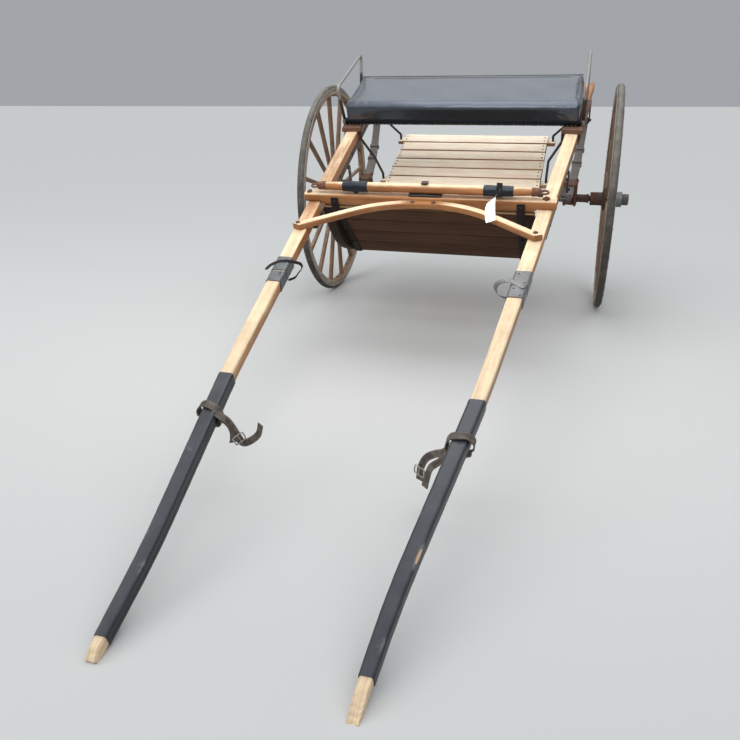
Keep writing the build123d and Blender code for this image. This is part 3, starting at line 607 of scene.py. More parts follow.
# Shapes of small fasteners, round their own X axis, as shares of their radius: height over the seat, radius
domedHead = ((-0.1, 1.0), (0.0, 1.0), (0.25, 0.96), (0.5, 0.8), (0.68, 0.5), (0.76, 0.18))
hexHead = ((-0.1, 1.0), (0.50, 1.0), (0.60, 0.9), (0.62, 0.3))
washerHead = ((-0.1, 1.0), (0.08, 1.0), (0.12, 0.94), (0.13, 0.3))
washerNut = ((0, 1.25), (0.16, 1.25), (0.17, 0.8), (0.75, 0.8), (0.8, 0.7))
squareNut = ((-0.1, 1.0), (0.52, 1.0), (0.64, 0.9), (0.66, 0.3))


def fasteners(places, out, radius, profile=domedHead, count=12, turn=0.0):
    # One turned head at each place, its axis along out. Four or six columns give a square or hexagon nut.
    out = unit(np.asarray(out, float))
    side = unit(np.cross(out, (0.31, 0.12, 0.94)))
    over = np.cross(out, side)
    angle = np.linspace(0, 2 * np.pi, count, endpoint=False) + turn
    unitHead = lathe(np.asarray(profile) * radius, count, turns=angle)
    local = unitHead[..., :1] * out + unitHead[..., 1:2] * side + unitHead[..., 2:] * over
    return [shell(local + np.asarray(place, float)) for place in places]


# Shafts, their sleeves and what is folded round them

shaftMake = {
    "top": 0.435, "tip": -3.09, "rear": 0.5, "round": 0.0065, "bend": 0.11,
    # along, centre, width, depth
    "stations": ((0.5, 0.6026, 0.062, 0.046), (-1.3, 0.46725, 0.057, 0.046), (-2.1, 0.40225, 0.045, 0.042),
                 (-2.8, 0.31425, 0.034, 0.036), (-3.09, 0.29725, 0.027, 0.032)),
    "chips": {"left": (0.024, 0.014), "right": (0.062, 0.020)}, "splinter": 0.0025, "keptAt": -0.75, "keptHalf": 0.90,
    "kept": {"left": 1.4, "right": 0.85}, "sleeveRear": 0.95, "bareTips": {"left": 0.052, "right": 0.09},
    "sleeve": 0.003, "gap": 0.0003,
    # depth of a sleeve's creases and of its tear, and half the width and height of its seam
    "crease": 0.00014, "tear": 0.0022, "seam": (0.0012, 0.0016),
    # scuffs on a sleeve: back from the tip, turn round the outline, length, amount
    "scuffs": {"left": ((0.330, 0.9, 0.04, 0.34), (0.240, 2.0, 0.030, 0.32), (0.620, 1.2, 0.02, 0.22)),
               "right": ((0.395, 0.62, 0.030, 1.25), (0.52, 2.2, 0.03, 0.24), (0.16, 1.0, 0.03, 0.30))},
}


def shaftLine(along):
    # Centre, width and depth: straight between the stations, with a sliding mean that rounds the bends
    rows = np.array(shaftMake["stations"])[::-1]
    rows = np.vstack((2 * rows[0] - rows[1], rows, 2 * rows[-1] - rows[-2]))
    window = np.asarray(along)[:, None] + np.linspace(-shaftMake["bend"], shaftMake["bend"], 15)
    return [np.interp(window, rows[:, 0], rows[:, column]).mean(1) for column in (1, 2, 3)]


def shaftSkin(along, grow, steps):
    # The shaft's outline grown by some thickness, at places along it
    centre, width, depth = shaftLine(along)
    outline = roundedOutline(width + 2 * grow, depth + 2 * grow, shaftMake["round"] + grow, steps)
    path = np.stack((centre, along, shaftMake["top"] - depth / 2), -1)
    return carry(path, outline, (1, 0, 0), (0, 0, 1))


def makeShaft(side):
    # The top of the tip is split away down to a sloping line, ragged by a few waves across the grain
    chipLength, chipDrop = shaftMake["chips"][side]
    fine = np.linspace(shaftMake["tip"], shaftMake["tip"] + 0.12, 60)
    along = np.concatenate((fine, np.linspace(fine[-1] + 0.01, shaftMake["rear"] - 0.003, 240), [shaftMake["rear"]]))
    points = shaftSkin(along, 0.0, 4)
    points[-1] = points[-1].mean(0) + (points[-1] - points[-1].mean(0)) * (0.94, 1, 0.94)
    share = (points[..., 1] - shaftMake["tip"]) / chipLength
    across, forward = points[..., 0], points[..., 1]
    ragged = (np.sin(across * 900) + np.sin(across * 2300 + forward * 300)) * shaftMake["splinter"] / 2
    limit = shaftMake["top"] - chipDrop * (1 - share) + ragged * np.clip(1.3 - share, 0, 1)
    points[..., 2] = np.where(share < 1.15, np.minimum(points[..., 2], limit), points[..., 2])
    back = along - shaftMake["tip"]
    kept = np.clip(1.5 - 1.5 * np.abs(along - shaftMake["keptAt"]) / shaftMake["keptHalf"], 0, 1)
    stain = 2.0 * np.clip((along - 0.14) / 0.06, 0, 1)[:, None]
    tipWear = np.clip(1.2 - back / (shaftMake["bareTips"][side] * 1.3), 0, 1)
    wear = edgeWear(4, 0.35) - stain + (0.6 + tipWear - shaftMake["kept"][side] * kept)[:, None]
    skin = shell(points * (sides[side], 1, 1), tone=0.21 if side == "left" else 0.67, wear=wear)
    makePiece("shaftWood_" + side, [skin], "varnishedWood", ["shaft_" + side], sharp=50)


def foldedRing(along, thickness, steps, lip=0.0):
    # Outer skin from front to rear with a lip at each end, then the inner skin back, as one closed ring of rows
    grow = shaftMake["gap"] + thickness
    outer = shaftSkin(along, grow, steps)
    outer[[0, -1]] = shaftSkin(along[[0, -1]], grow + lip - thickness * 0.1, steps)
    ends = shaftSkin(along[[0, -1]], grow - thickness * 0.45, steps)
    inner = shaftSkin(along[::-1], shaftMake["gap"] * 0.5, steps)
    return np.concatenate((ends[:1], outer, ends[1:], inner))


def makeSleeve(side):
    # Creased vinyl pulled over the shaft: small waves across it, scuffs, and a tear that bares the wood
    front = shaftMake["tip"] + shaftMake["bareTips"][side]
    along = np.linspace(front, shaftMake["tip"] + shaftMake["sleeveRear"], 230)
    points = foldedRing(along, shaftMake["sleeve"], 6)
    rows, columns = points.shape[:2]
    outerRows = len(along)
    back = points[..., 1] - shaftMake["tip"]
    turn = np.linspace(0, 2 * np.pi, columns, endpoint=False)[None, :]
    wear = np.zeros((rows, columns))
    for place, angle, length, amount in shaftMake["scuffs"][side]:
        near = np.cos(turn - angle).clip(0, 1) ** 8
        wear += amount * near * np.exp(-((back - place) / length) ** 2)
    wear[outerRows + 2:] = 0.0
    crease = shaftMake["crease"] * (np.sin(back * 61 + 2 * turn) + np.sin(back * 143 - turn * 3) * 0.7)
    crease = crease - shaftMake["tear"] * np.clip(wear - 0.75, 0, 0.4) / 0.4
    crease[outerRows + 2:] = 0.0
    middle = points.mean(1, keepdims=True)
    points = points + unit((points - middle) * (1, 0, 1)) * crease[..., None]
    skin = shell(points * (sides[side], 1, 1), ring=True, wear=wear)
    makePiece("sleeveSkin_" + side, [skin], "sleeveVinyl", ["shaft_sleeve_" + side], sharp=60)
    centre, width, depth = shaftLine(along)
    reach = shaftMake["gap"] + shaftMake["sleeve"]
    inside = np.stack((centre - width / 2 - reach + 0.0002, along, shaftMake["top"] - depth * 0.62), -1)
    seam = follow(inside[3:-3], ovalOutline(*shaftMake["seam"], 2.0, 8), (1, 0, 0))
    makePiece("sleeveSeam_" + side, [shell(seam * (sides[side], 1, 1))], "sleeveVinyl")


for side in sides:
    makeShaft(side)
    makeSleeve(side)
print("shafts and sleeves made")

# Wheels, in the parked frame, round the axle

wheelMake = {
    "radius": 0.57, "tyreWidth": 0.031, "tyreDepth": 0.022, "crown": 0.009, "wall": 0.003, "lip": 0.008,
    "felloeDepth": 0.028, "felloeWidth": 0.034, "felloeRound": 0.008, "felloeChamfer": 0.004, "gap": 0.0006,
    "spokes": 16, "phase": 8.0, "foot": (0.0148, 0.0083), "tongue": (0.0128, 0.0123), "joints": 8,
    "core": 0.046, "coreHalf": 0.016, "barrel": 0.034, "flange": 0.056, "flangeThick": 0.009, "taper": 0.010,
    "inner": 0.092, "outer": 0.062, "bore": 0.0152, "band": 0.039, "bandLength": 0.026, "cap": 0.029,
    "capLength": 0.034, "shoulder": 0.006, "chamfer": 0.005, "bolts": 8, "bolt": 0.0055, "boltCircle": 0.0475,
    # points round the rim, the felloe and the hub, the softening of edges, and the play between pieces
    "facets": 160, "felloeFacets": 144, "hubFacets": 40, "soft": 0.001, "play": 0.0003, "grooveDepth": 0.06,
    # the spoke's depth in the hub and the felloe and its slimmer waist, the barrel's groove, the flange's cove
    "sink": 0.004, "waist": 0.0012, "grooveAt": (0.016, 0.018, 0.020), "cove": (0.004, 0.006),
    "nut": 0.0062, "rivets": 24, "rivet": 0.0032, "rivetRise": 0.003, "seatIn": 0.0002,
}


def felloeTurns(count, joints, phase):
    # Even steps round the wheel, plus three close ones at each joint, and the share of groove at each
    even = np.linspace(0, 2 * np.pi, count, endpoint=False)
    places = phase + np.arange(joints) * 2 * np.pi / joints
    close = (places[:, None] + np.array((-0.0022, -0.0008, 0.0008, 0.0022))).ravel()
    angle = np.sort(np.mod(np.concatenate((even, close)), 2 * np.pi))
    distance = np.abs((angle[:, None] - places + np.pi) % (2 * np.pi) - np.pi).min(1)
    number = np.floor(np.mod(angle - phase, 2 * np.pi) / (2 * np.pi / joints))
    return angle, np.clip(1 - distance / 0.0018, 0, 1), np.mod(number * 0.37, 1.0)


def makeWheel(side):
    make = wheelMake
    way = sides[side]
    centre = axlePlace + np.array((way * trackHalf, 0, 0))
    bed = make["radius"] - make["tyreDepth"]
    half = make["tyreWidth"] / 2
    shoulder = make["radius"] - make["crown"]

    def place(points):
        return points * (way, 1, 1) + centre

    def wheelPiece(name, shells, finish, stands=(), sharp=38.0):
        nodes = [node + "_" + side for node in stands]
        makePiece(name + "_" + side, shells, finish, nodes, "wheel_" + side, False, sharp)

    def turnedRing(profile, count):
        return [shell(place(lathe(profile, count)), ring=True)]

    # tyre: its tread stands crown * (1 - |s|^2.2) over the shoulder, with s from -1 to 1 across
    soft = make["soft"]
    sweep = np.linspace(-1, 1, 11)
    crown = np.stack((sweep * half, shoulder + make["crown"] * (1 - np.abs(sweep) ** 2.2)), -1)
    profile = np.concatenate((crown, ((half, bed + soft), (half - soft, bed), (-half + soft, bed),
                                      (-half, bed + soft))))
    wheelPiece("tyreRubber", turnedRing(profile, make["facets"]), "solidRubber", ["tyre"], 50)

    # channel: a U round the tyre's bed, its lips rolled
    wall, lip = make["wall"], make["lip"]
    low = bed - make["play"] - wall
    inner = half + make["play"]
    outer = inner + wall
    top = bed + lip
    profile = ((-outer, low + soft), (-outer + soft, low), (outer - soft, low), (outer, low + soft),
               (outer, top - soft), (outer - 1.5 * soft, top), (inner, top - 0.5 * soft), (inner, low + wall),
               (-inner, low + wall), (-inner, top - 0.5 * soft), (-outer + 1.5 * soft, top), (-outer, top - soft))
    wheelPiece("rimChannel", turnedRing(profile, make["facets"]), "greySteel", ["tyre_channel"])

    # felloe: chamfered inside, with a fine groove where its lengths meet
    phase = math.radians(make["phase"])
    turns, groove, number = felloeTurns(make["felloeFacets"], make["joints"], phase + np.pi / make["spokes"])
    outerRadius = low - make["gap"]
    innerRadius = outerRadius - make["felloeDepth"]
    halfWide = make["felloeWidth"] / 2
    narrow = halfWide - make["felloeChamfer"]
    sideEnd = innerRadius + make["felloeRound"]
    bevel = 1.5 * soft
    profile = np.array(((-halfWide, outerRadius), (halfWide, outerRadius), (halfWide, sideEnd),
                        (narrow + bevel, innerRadius + bevel), (narrow - soft, innerRadius),
                        (0, innerRadius - 0.2 * soft), (-narrow + soft, innerRadius),
                        (-narrow - bevel, innerRadius + bevel), (-halfWide, sideEnd)))
    middle = (outerRadius + innerRadius) / 2
    grid = lathe(profile, 0, turns=turns)
    shrink = 1 - make["grooveDepth"] * groove[None, :, None] * (np.arange(len(profile)) > 1)[:, None, None]
    axisPoint = np.stack((np.zeros_like(turns), middle * np.cos(turns), middle * np.sin(turns)), -1)[None]
    grid = axisPoint + (grid - axisPoint) * shrink
    grid = np.swapaxes(grid, 0, 1)
    # sides and outer corners worn pale; the inner face keeps its darker varnish, partly sheltered wood and partly
    # painted shade
    wear = np.array((0.6, 0.6, 0.6, 0.1, -0.2, -0.2, -0.2, 0.1, 0.6))
    skin = shell(place(grid), ring=True, tone=number[:, None], wear=wear)
    wheelPiece("felloeWood", [skin], "wheelWood", ["wheel_felloe"])

    # spokes: square at the foot, oval from a third of the way, widening to the tongue
    share = np.linspace(0, 1, 22)
    radius = make["core"] - make["sink"] + share * (innerRadius + make["sink"] - make["core"] + make["sink"])
    foot, tongue = make["foot"], make["tongue"]
    axial = foot[0] + (tongue[0] - foot[0]) * share - make["waist"] * np.sin(np.pi * share)
    girth = foot[1] + (tongue[1] - foot[1]) * share ** 1.4
    power = 2.1 + 4.0 * np.clip(1 - share * 4.5, 0, 1)
    outline = ovalOutline(axial, girth, power, 20)
    one = carry(np.stack((0 * radius, 0 * radius, radius), -1), outline, (1, 0, 0), (0, 1, 0))
    angle = phase + np.arange(make["spokes"]) * 2 * np.pi / make["spokes"]
    x, y, z = one[..., 0], one[..., 1], one[..., 2]
    skins = []
    for k, a in enumerate(angle):
        turnedSpoke = np.stack((x, y * math.cos(a) - z * math.sin(a), y * math.sin(a) + z * math.cos(a)), -1)
        skins.append(shell(place(turnedSpoke), tone=(k * 0.61) % 1))
    wheelPiece("spokeWood", skins, "wheelWood", ["wheel_spokes"])

    # hub: barrel, two flanges that clamp the spokes' feet, turned collars
    flange = make["coreHalf"] + make["flangeThick"]
    barrel = make["barrel"]
    back, rim, core, coreHalf, bore = -make["inner"], make["flange"], make["core"], make["coreHalf"], make["bore"]
    edge, (cove, rise) = 2 * soft, make["cove"]
    before, groove, after = make["grooveAt"]
    profile = ((back, bore), (back, barrel - edge), (back + edge, barrel), (back + before, barrel),
               (back + groove, barrel - bevel), (back + after, barrel), (-flange - make["taper"], barrel),
               (-flange - cove, barrel + rise), (-flange, rim - edge), (-flange + edge, rim), (-coreHalf, rim),
               (-coreHalf, core), (coreHalf, core), (coreHalf, rim), (flange - edge, rim), (flange, rim - edge),
               (flange + cove, barrel + rise), (flange + make["taper"], barrel), (make["outer"], barrel),
               (make["outer"], bore))
    wheelPiece("hubIron", turnedRing(profile, make["hubFacets"]), "hubIron", ["wheel_hub"])
    ring = np.arange(make["bolts"]) * 2 * np.pi / make["bolts"] + 0.2
    circle = make["boltCircle"]
    seats = np.stack((np.full(make["bolts"], flange), np.cos(ring) * circle, np.sin(ring) * circle), -1)
    nuts = fasteners(place(seats), (way, 0, 0), make["bolt"], hexHead, 6)
    heads = fasteners(place(seats * (-1, 1, 1)), (-way, 0, 0), make["bolt"], domedHead, 12)
    wheelPiece("hubBolts", nuts + heads, "hubIron")

    # band and cap
    start = make["outer"] - make["bandLength"]
    face = make["outer"] + make["shoulder"]
    band, cap, under = make["band"], make["cap"], barrel + make["play"]
    profile = ((start, under), (start, band - soft), (start + soft, band), (face - soft, band), (face, band - soft),
               (face, cap - soft), (face - 4 * soft, cap - soft), (face - 4 * soft, under))
    wheelPiece("hubBand", turnedRing(profile, make["hubFacets"]), "paleSteel")
    # the cap from the band to its tip: distance from the face or the end, radius
    end = face + make["capLength"]
    narrowed = cap - make["chamfer"]
    profile = ((face - 0.003, cap), (face + 0.004, cap), (face + 0.005, cap - 0.0012), (face + 0.007, cap - 0.0012),
               (face + 0.008, cap), (end - make["chamfer"], cap), (end - 0.002, cap - 0.0022), (end - 0.0006, narrowed),
               (end, narrowed - 0.004), (end, 0.009), (end - 0.001, 0.008))
    wheelPiece("hubCap", [shell(place(lathe(profile, make["hubFacets"])))], "hubSteel", ["hub_cap"])

    # felloe bolts: square nuts on the wood's inner side, rivets along both faces of the channel
    angle = phase + (np.arange(make["spokes"]) + 0.5) * 2 * np.pi / make["spokes"]
    nuts = []
    for a in angle + 0.03:
        out = np.array((0, -math.cos(a), -math.sin(a)))
        nuts += fasteners([centre - out * (innerRadius - make["seatIn"])], out, make["nut"], washerNut, 8)
    rivets = []
    circle = bed + make["rivetRise"]
    turn = np.arange(make["rivets"]) * 2 * np.pi / make["rivets"] + 0.1
    for face in (-1, 1):
        level = np.full(make["rivets"], face * (outer - make["seatIn"]))
        seats = np.stack((level, np.cos(turn) * circle, np.sin(turn) * circle), -1)
        rivets += fasteners(place(seats), (way * face, 0, 0), make["rivet"], domedHead, 8)
    wheelPiece("felloeNuts", nuts, "blackIron")
    wheelPiece("rimRivets", rivets, "rustyIron")


for side in sides:
    makeWheel(side)
print("wheels made")

# Crossbar, bow and swingletree

crossMake = {"place": -0.96, "half": 0.535, "low": 0.435, "width": 0.05, "depth": 0.036, "round": 0.009,
             "notch": 0.0115, "notchHalf": 0.458,
             # through bolts: x, y, size of the head, and the turn of a square nut
             "bolts": ((-0.513, -0.964, 0.0125, 0.42), (0.492, -0.962, 0.0145, -0.37))}
bowMake = {"points": ((0.167, -1.0005), (0.485, -1.229)), "reach": 0.158, "cut": 0.45, "low": 0.435, "width": 0.030,
           "depth": 0.027, "round": 0.005,
           "bolts": ((-0.0465, -1.005), (0.042, -1.005), (-0.479, -1.217), (0.473, -1.213)), "bolt": 0.0072,
           "washer": 0.0105, "washerHigh": 0.0015,
           # the share of its width and depth that each end keeps
           "narrowed": 0.95, "thinned": 0.93}
pivotMake = {"half": 0.070, "halfDeep": 0.020, "thick": 0.010, "round": 0.004, "bolt": 0.007, "washer": 0.017,
             "lift": 0.0047, "headHalf": 0.0145, "headDeep": 0.011, "headHeight": 0.009, "headRound": 0.0035,
             "gap": 0.002, "screws": 0.052, "screw": 0.0085, "soft": 0.001}
swingMake = {"height": 0.501, "half": 0.464, "radius": 0.020, "endRadius": 0.014, "taper": 0.150, "ferrule": 0.030,
             "wall": 0.003, "cap": 0.006, "rod": 0.0045, "ring": 0.015, "wrap": 0.0019, "turn": 0.0125, "gap": 0.0003,
             "bands": {"left": (0.247, 0.357), "right": (0.242, 0.362)}, "flatDeep": 0.0149, "flatHalf": 0.141,
             "stainFrom": 0.36,
             # the tie round the right band and the tab under the left: place across, then width, thickness, corner
             "tieAt": 0.305, "tie": (0.023, 0.0026, 0.001), "pegAt": -0.302, "tab": (0.016, 0.006, 0.002)}
tagMake = {
    # corners of each crosswise fold from the string's end down, left then right: x, y, z
    "folds": (((0.264, -1.021, 0.4755), (0.294, -0.988, 0.4900)), ((0.262, -1.050, 0.4700), (0.297, -1.022, 0.4810)),
              ((0.265, -1.086, 0.4670), (0.303, -1.070, 0.4750)), ((0.271, -1.118, 0.4600), (0.309, -1.108, 0.4700)),
              ((0.276, -1.133, 0.4490), (0.3125, -1.126, 0.4600))),
    "thick": 0.0005, "thread": 0.0007,
    "string": ((0.290, -0.996, 0.4890), (0.296, -0.986, 0.4960), (0.303, -0.981, 0.5050), (0.309, -0.983, 0.5140),
               (0.310, -0.975, 0.5230)),
}


def makeCrossbar():
    make = crossMake
    middle = make["low"] + make["depth"] / 2
    skin = crossBeam(make["half"], make["place"], middle, make["width"], make["depth"], make["round"], 60)
    # between the shafts the bar is deeper, so it sits on them by a notch
    under = (skin[..., 2] < middle) * np.clip((make["notchHalf"] - np.abs(skin[..., 0])) / 0.004, 0, 1)
    skin[..., 2] -= make["notch"] * under
    wear = edgeWear(3, 0.5) - 0.75 + 0.3 * np.clip((np.abs(skin[..., 0]) - 0.34) / 0.1, 0, 1)
    makePiece("crossbarWood", [shell(skin, tone=0.35, wear=wear)], "varnishedWood", ["crossbar"])
    top = make["low"] + make["depth"]
    skins = []
    for x, y, size, turn in make["bolts"]:
        skins += fasteners([(x, y, top)], (0, 0, 1), size, squareNut, 4, turn)
        skins += fasteners([(x, y, top + size * 0.6)], (0, 0, 1), size * 0.42)
    makePiece("crossbarBolts", skins, "rustyIron")


def makeBow():
    # The centre line runs straight out from the middle and bends back at two points, mirrored
    make = bowMake
    (nearX, nearY), (farX, farY) = make["points"]
    middle = make["low"] + make["depth"] / 2
    corners = ((-farX, farY, middle), (-nearX, nearY, middle), (nearX, nearY, middle), (farX, farY, middle))
    path = evenly(bentPath(corners, make["reach"], 13), 0.008)
    count = len(path)
    share = np.linspace(0, 1, count)
    width = make["width"] * np.ones(count)
    width[[0, -1]] *= make["narrowed"]
    depth = make["depth"] * np.ones(count)
    depth[[0, -1]] *= make["thinned"]
    outline = roundedOutline(width, depth, np.minimum(make["round"], width / 3))
    skin = follow(path, outline, (0, 0, 1))
    # both ends are cut at a slant: the last rows slide along the arm by more and more
    arm = unit(path[-1] - path[-2]) * ((-1, 1, 1), (1, 1, 1))
    slide = make["cut"] * (path[[0, -1], 1, None] - skin[[0, -1], :, 1]) / arm[:, 1:2]
    ramp = np.linspace(1, 0, 9)[:, None, None]
    skin[:9] += ramp * slide[0][:, None] * arm[0]
    skin[-9:] += ramp[::-1] * slide[1][:, None] * arm[1]
    wear = edgeWear(3, 0.45) - 1.2 * np.exp(-((share - 0.5) / 0.10) ** 2)[:, None] - 0.1
    makePiece("bowWood", [shell(skin, tone=0.83, wear=wear)], "varnishedWood", ["bow_brace"])
    top = make["low"] + make["depth"]
    seats = [(x, y, top) for x, y in make["bolts"]]
    skins = fasteners(seats, (0, 0, 1), make["washer"], washerHead, 20)
    skins += fasteners(np.add(seats, (0, 0, make["washerHigh"])), (0, 0, 1), make["bolt"])
    makePiece("bowBolts", skins, "rustyIron")


def makePivot():
    # Plate let down on the crossbar by two screws, washer, bolt and a bar-shaped head over the swingletree
    make = pivotMake
    y = crossMake["place"]
    low = crossMake["low"] + crossMake["depth"]
    plateTop = low + make["thick"]
    thick, washer, bolt, soft = make["thick"], make["washer"], make["bolt"], make["soft"]
    plate = crossBeam(make["half"], y, low + thick / 2, 2 * make["halfDeep"], thick, make["round"], 8, 3 * soft)
    headLow = swingMake["height"] + swingMake["radius"] + make["gap"]
    washerTop = plateTop + make["lift"]
    profile = ((plateTop - soft, washer), (washerTop - soft, washer), (washerTop, washer - soft), (washerTop, bolt),
               (headLow, bolt))
    stem = lathe(profile, 24)[..., (2, 1, 0)] + (0, y, 0)
    middle = headLow + make["headHeight"] / 2
    head = crossBeam(make["headHalf"], y, middle, 2 * make["headDeep"], make["headHeight"], make["headRound"], 6)
    screws = fasteners([(way * make["screws"], y, plateTop) for way in (-1, 1)], (0, 0, 1), make["screw"])
    makePiece("pivotIron", [shell(plate), shell(stem), shell(head), *screws], "blackIron",
              ["pivot_plate"])


def swingRadius(x):
    slope = (swingMake["radius"] - swingMake["endRadius"]) / swingMake["taper"]
    return np.minimum(swingMake["radius"], swingMake["endRadius"] + slope * (swingMake["half"] - np.abs(x)))


def makeSwingletree():
    make = swingMake
    centre = np.array((0, crossMake["place"], make["height"]))
    x = np.linspace(-make["half"], make["half"], 130)
    skin = lathe(np.stack((x, swingRadius(x)), -1), 28, centre)
    lifted = make["height"] - make["flatDeep"]
    flat = (np.abs(skin[..., 0]) < make["flatHalf"]) & (skin[..., 2] < lifted)
    skin[..., 2] = np.where(flat, lifted, skin[..., 2])
    stain = np.clip((np.abs(x) - make["stainFrom"]) / 0.03, 0, 1)
    makePiece("swingWood", [shell(skin, tone=0.5, wear=-0.45 * stain[:, None])], "varnishedWood",
              ["swingletree_bar"], "swingletree")

    # ferrules: a turned cup on each end, a nail in it, and a round ring for the trace
    start = make["half"] - make["ferrule"]
    first, last = swingRadius(start) + make["gap"], swingRadius(make["half"]) + make["gap"]
    end = make["half"] + make["cap"]
    wall = make["wall"]
    profile = np.array(((start, first), (start, first + wall * 0.7), (start + 0.001, first + wall),
                        (start + 0.004, first + wall), (start + 0.005, first + wall * 0.7),
                        (start + 0.007, first + wall * 0.7), (end - 0.003, last + wall * 0.8),
                        (end - 0.001, last + wall * 0.4), (end, last), (end + 0.0004, last * 0.4)))
    ringPlace = make["half"] + make["gap"] + make["rod"] + make["ring"]
    turn = np.linspace(0, 2 * np.pi, 28, endpoint=False)
    over = np.linspace(0, 2 * np.pi, 12, endpoint=False)
    reach = make["ring"] + make["rod"] * np.cos(over)
    torus = np.stack((ringPlace + reach * np.cos(turn)[:, None], reach * np.sin(turn)[:, None],
                      np.broadcast_to(make["rod"] * np.sin(over), (28, 12))), -1) + centre
    skins = []
    for way in sides.values():
        for grid, closed in ((lathe(profile, 28, centre), False), (torus, True)):
            skins.append(shell(grid * (way, 1, 1), ring=closed))
        skins += fasteners([(way * (start + 0.012), centre[1], make["height"] + first + wall * 0.6)], (0, 0, 1), 0.0032)
    makePiece("swingFerrules", skins, "rustyIron", ["swingletree_ferrules"], "swingletree")

    # wrapped bands: a strip wound round the bar, each turn lapping the last, so the radius is a helical wave
    skins = []
    for side, way in sides.items():
        low, high = make["bands"][side]
        x = np.linspace(low, high, 110)
        angle = np.linspace(0, 2 * np.pi, 32, endpoint=False)
        phase = np.mod(x[:, None] / make["turn"] - angle / (2 * np.pi), 1.0)
        lap = 0.0005 * phase ** 2 + 0.0003 * np.sin(angle * 3 + x[:, None] * 90)
        outer = (swingRadius(x) + make["gap"] + make["wrap"])[:, None] + lap
        outer[[0, -1]] -= 0.0009
        inner = np.repeat((swingRadius(x[::-1]) - 0.0002)[:, None], 32, 1)
        radius = np.concatenate((outer, inner))
        along = np.concatenate((x, x[::-1]))[:, None] * np.ones(32)
        grid = np.stack((way * along, radius * np.cos(angle), radius * np.sin(angle)), -1) + centre
        skins.append(shell(grid, ring=True))
    makePiece("swingBands", skins, "blackTape", ["swingletree_wraps"], "swingletree")

    # a tie strap round the right band, with its end standing up behind, and a short tab under the left one
    around = np.linspace(-0.7, 2 * np.pi - 1.6, 34)
    radius = make["radius"] + 0.0036
    loop = np.stack((np.full(34, make["tieAt"]), radius * np.sin(around), radius * np.cos(around)), -1)
    tail = loop[-1] + np.array(((0.001, 0.006, 0.014), (0.002, 0.010, 0.028), (0.003, 0.007, 0.044)))
    path = np.concatenate((loop, tail)) + centre
    outline = roundedOutline(*make["tie"])
    strap = follow(evenly(path, 0.004), outline[:, ::-1], (1, 0, 0))
    under = centre + ((make["pegAt"], -0.004, -make["radius"] - 0.001),
                      (make["pegAt"] + 0.001, -0.006, -make["radius"] - 0.0045),
                      (make["pegAt"] + 0.002, -0.0085, -make["radius"] - 0.0075))
    tab = follow(under, roundedOutline(*make["tab"])[:, ::-1], (1, 0, 0))
    makePiece("swingTie", [shell(strap), shell(tab)], "blackTape", (), "swingletree")


def makeTag():
    # A blank paper tag, its folds joined by a smooth curve and given both faces, on a thin string
    make = tagMake
    edges = [smoothThrough([fold[side] for fold in make["folds"]], 24) for side in (0, 1)]
    share = np.linspace(0, 1, 12)[None, :, None]
    face = edges[0][:, None] * (1 - share) + edges[1][:, None] * share
    down, right = np.gradient(face, axis=0), np.gradient(face, axis=1)
    out = unit(np.cross(right, down)) * make["thick"] / 2
    sheet = np.concatenate((face + out, (face - out)[:, ::-1]), axis=1)
    makePiece("paperTag", [shell(sheet)], "paper", sharp=60)
    string = smoothThrough(make["string"], 24)
    outline = ovalOutline(make["thread"], make["thread"], 2.0, 8)
    makePiece("tagString", [shell(follow(string, outline, (1, 0, 0)))], "thread")


makeCrossbar()
makeBow()
makePivot()
makeSwingletree()
makeTag()
print("crossbar, bow and swingletree made")

# Toe board and slatted floor

bodyMake = {
    "toeTop": (-0.9847, 0.414), "toeFoot": (-0.748, 0.062), "toeHalf": 0.450, "toePlanks": 4, "toeGap": 0.003,
    "toeThick": 0.015, "rear": (0.380, 0.170), "half": 0.412, "pitch": 0.093, "gap": 0.012, "thick": 0.014,
    "round": 0.0025, "ends": (0.0, 0.006, 0.002, 0.009, 0.001, 0.004, 0.007, 0.0, 0.003, 0.008, 0.002),
    "warp": 0.0006, "nail": 0.0042, "nailAt": (0.28, 0.72), "nailShift": 0.002,
    "rib": {"inner": 0.4118, "width": 0.0445, "depth": 0.048, "least": 0.003, "round": 0.005, "inset": 0.012},
    "bearers": {"half": 0.452, "width": 0.042, "top": -0.006, "depth": 0.022, "round": 0.003,
                "places": (0.6711, 1.1112)},
    # the strap's middle line from the crossbar's front down the toe board and along the floor: y, z
    "strap": {"place": 0.395, "width": 0.033, "thick": 0.006, "round": 0.0015, "bend": 0.008,
              "bolt": 0.0085, "boltHigh": 0.442, "screw": 0.0075, "screws": (0.022, 0.12, 0.22, 0.32),
              "line": ((-0.988, 0.459), (-0.988, 0.4135), (-0.7495, 0.0588), (0.3763, 0.1667))},
}


def onSlope(start, end, points):
    # From a frame along a sloping line of the level cart: y runs along it and z stands square on it
    run = np.array(end) - np.array(start)
    c, s = run / np.hypot(*run)
    x, y, z = points[..., 0], points[..., 1], points[..., 2]
    return np.stack((x, start[0] + y * c - z * s, start[1] + y * s + z * c), -1)


def onToe(points):
    return onSlope(bodyMake["toeTop"], bodyMake["toeFoot"], points)


def onFloor(points):
    return onSlope(bodyMake["toeFoot"], bodyMake["rear"], points)


def plank(half, low, high, thick, round, wave, cut=0.0):
    # A board across the cart, its top a little bowed by a long wave
    middle = (low + high) / 2
    grid = bar((-half + cut, middle, thick / 2), (half - cut * 0.4, middle, thick / 2), (0, 1, 0), (0, 0, 1),
               high - low, thick, round, 40)
    grid[..., 2] += bodyMake["warp"] * np.sin(grid[..., 0] * 5 + wave) * (grid[..., 2] > thick / 2)
    return grid


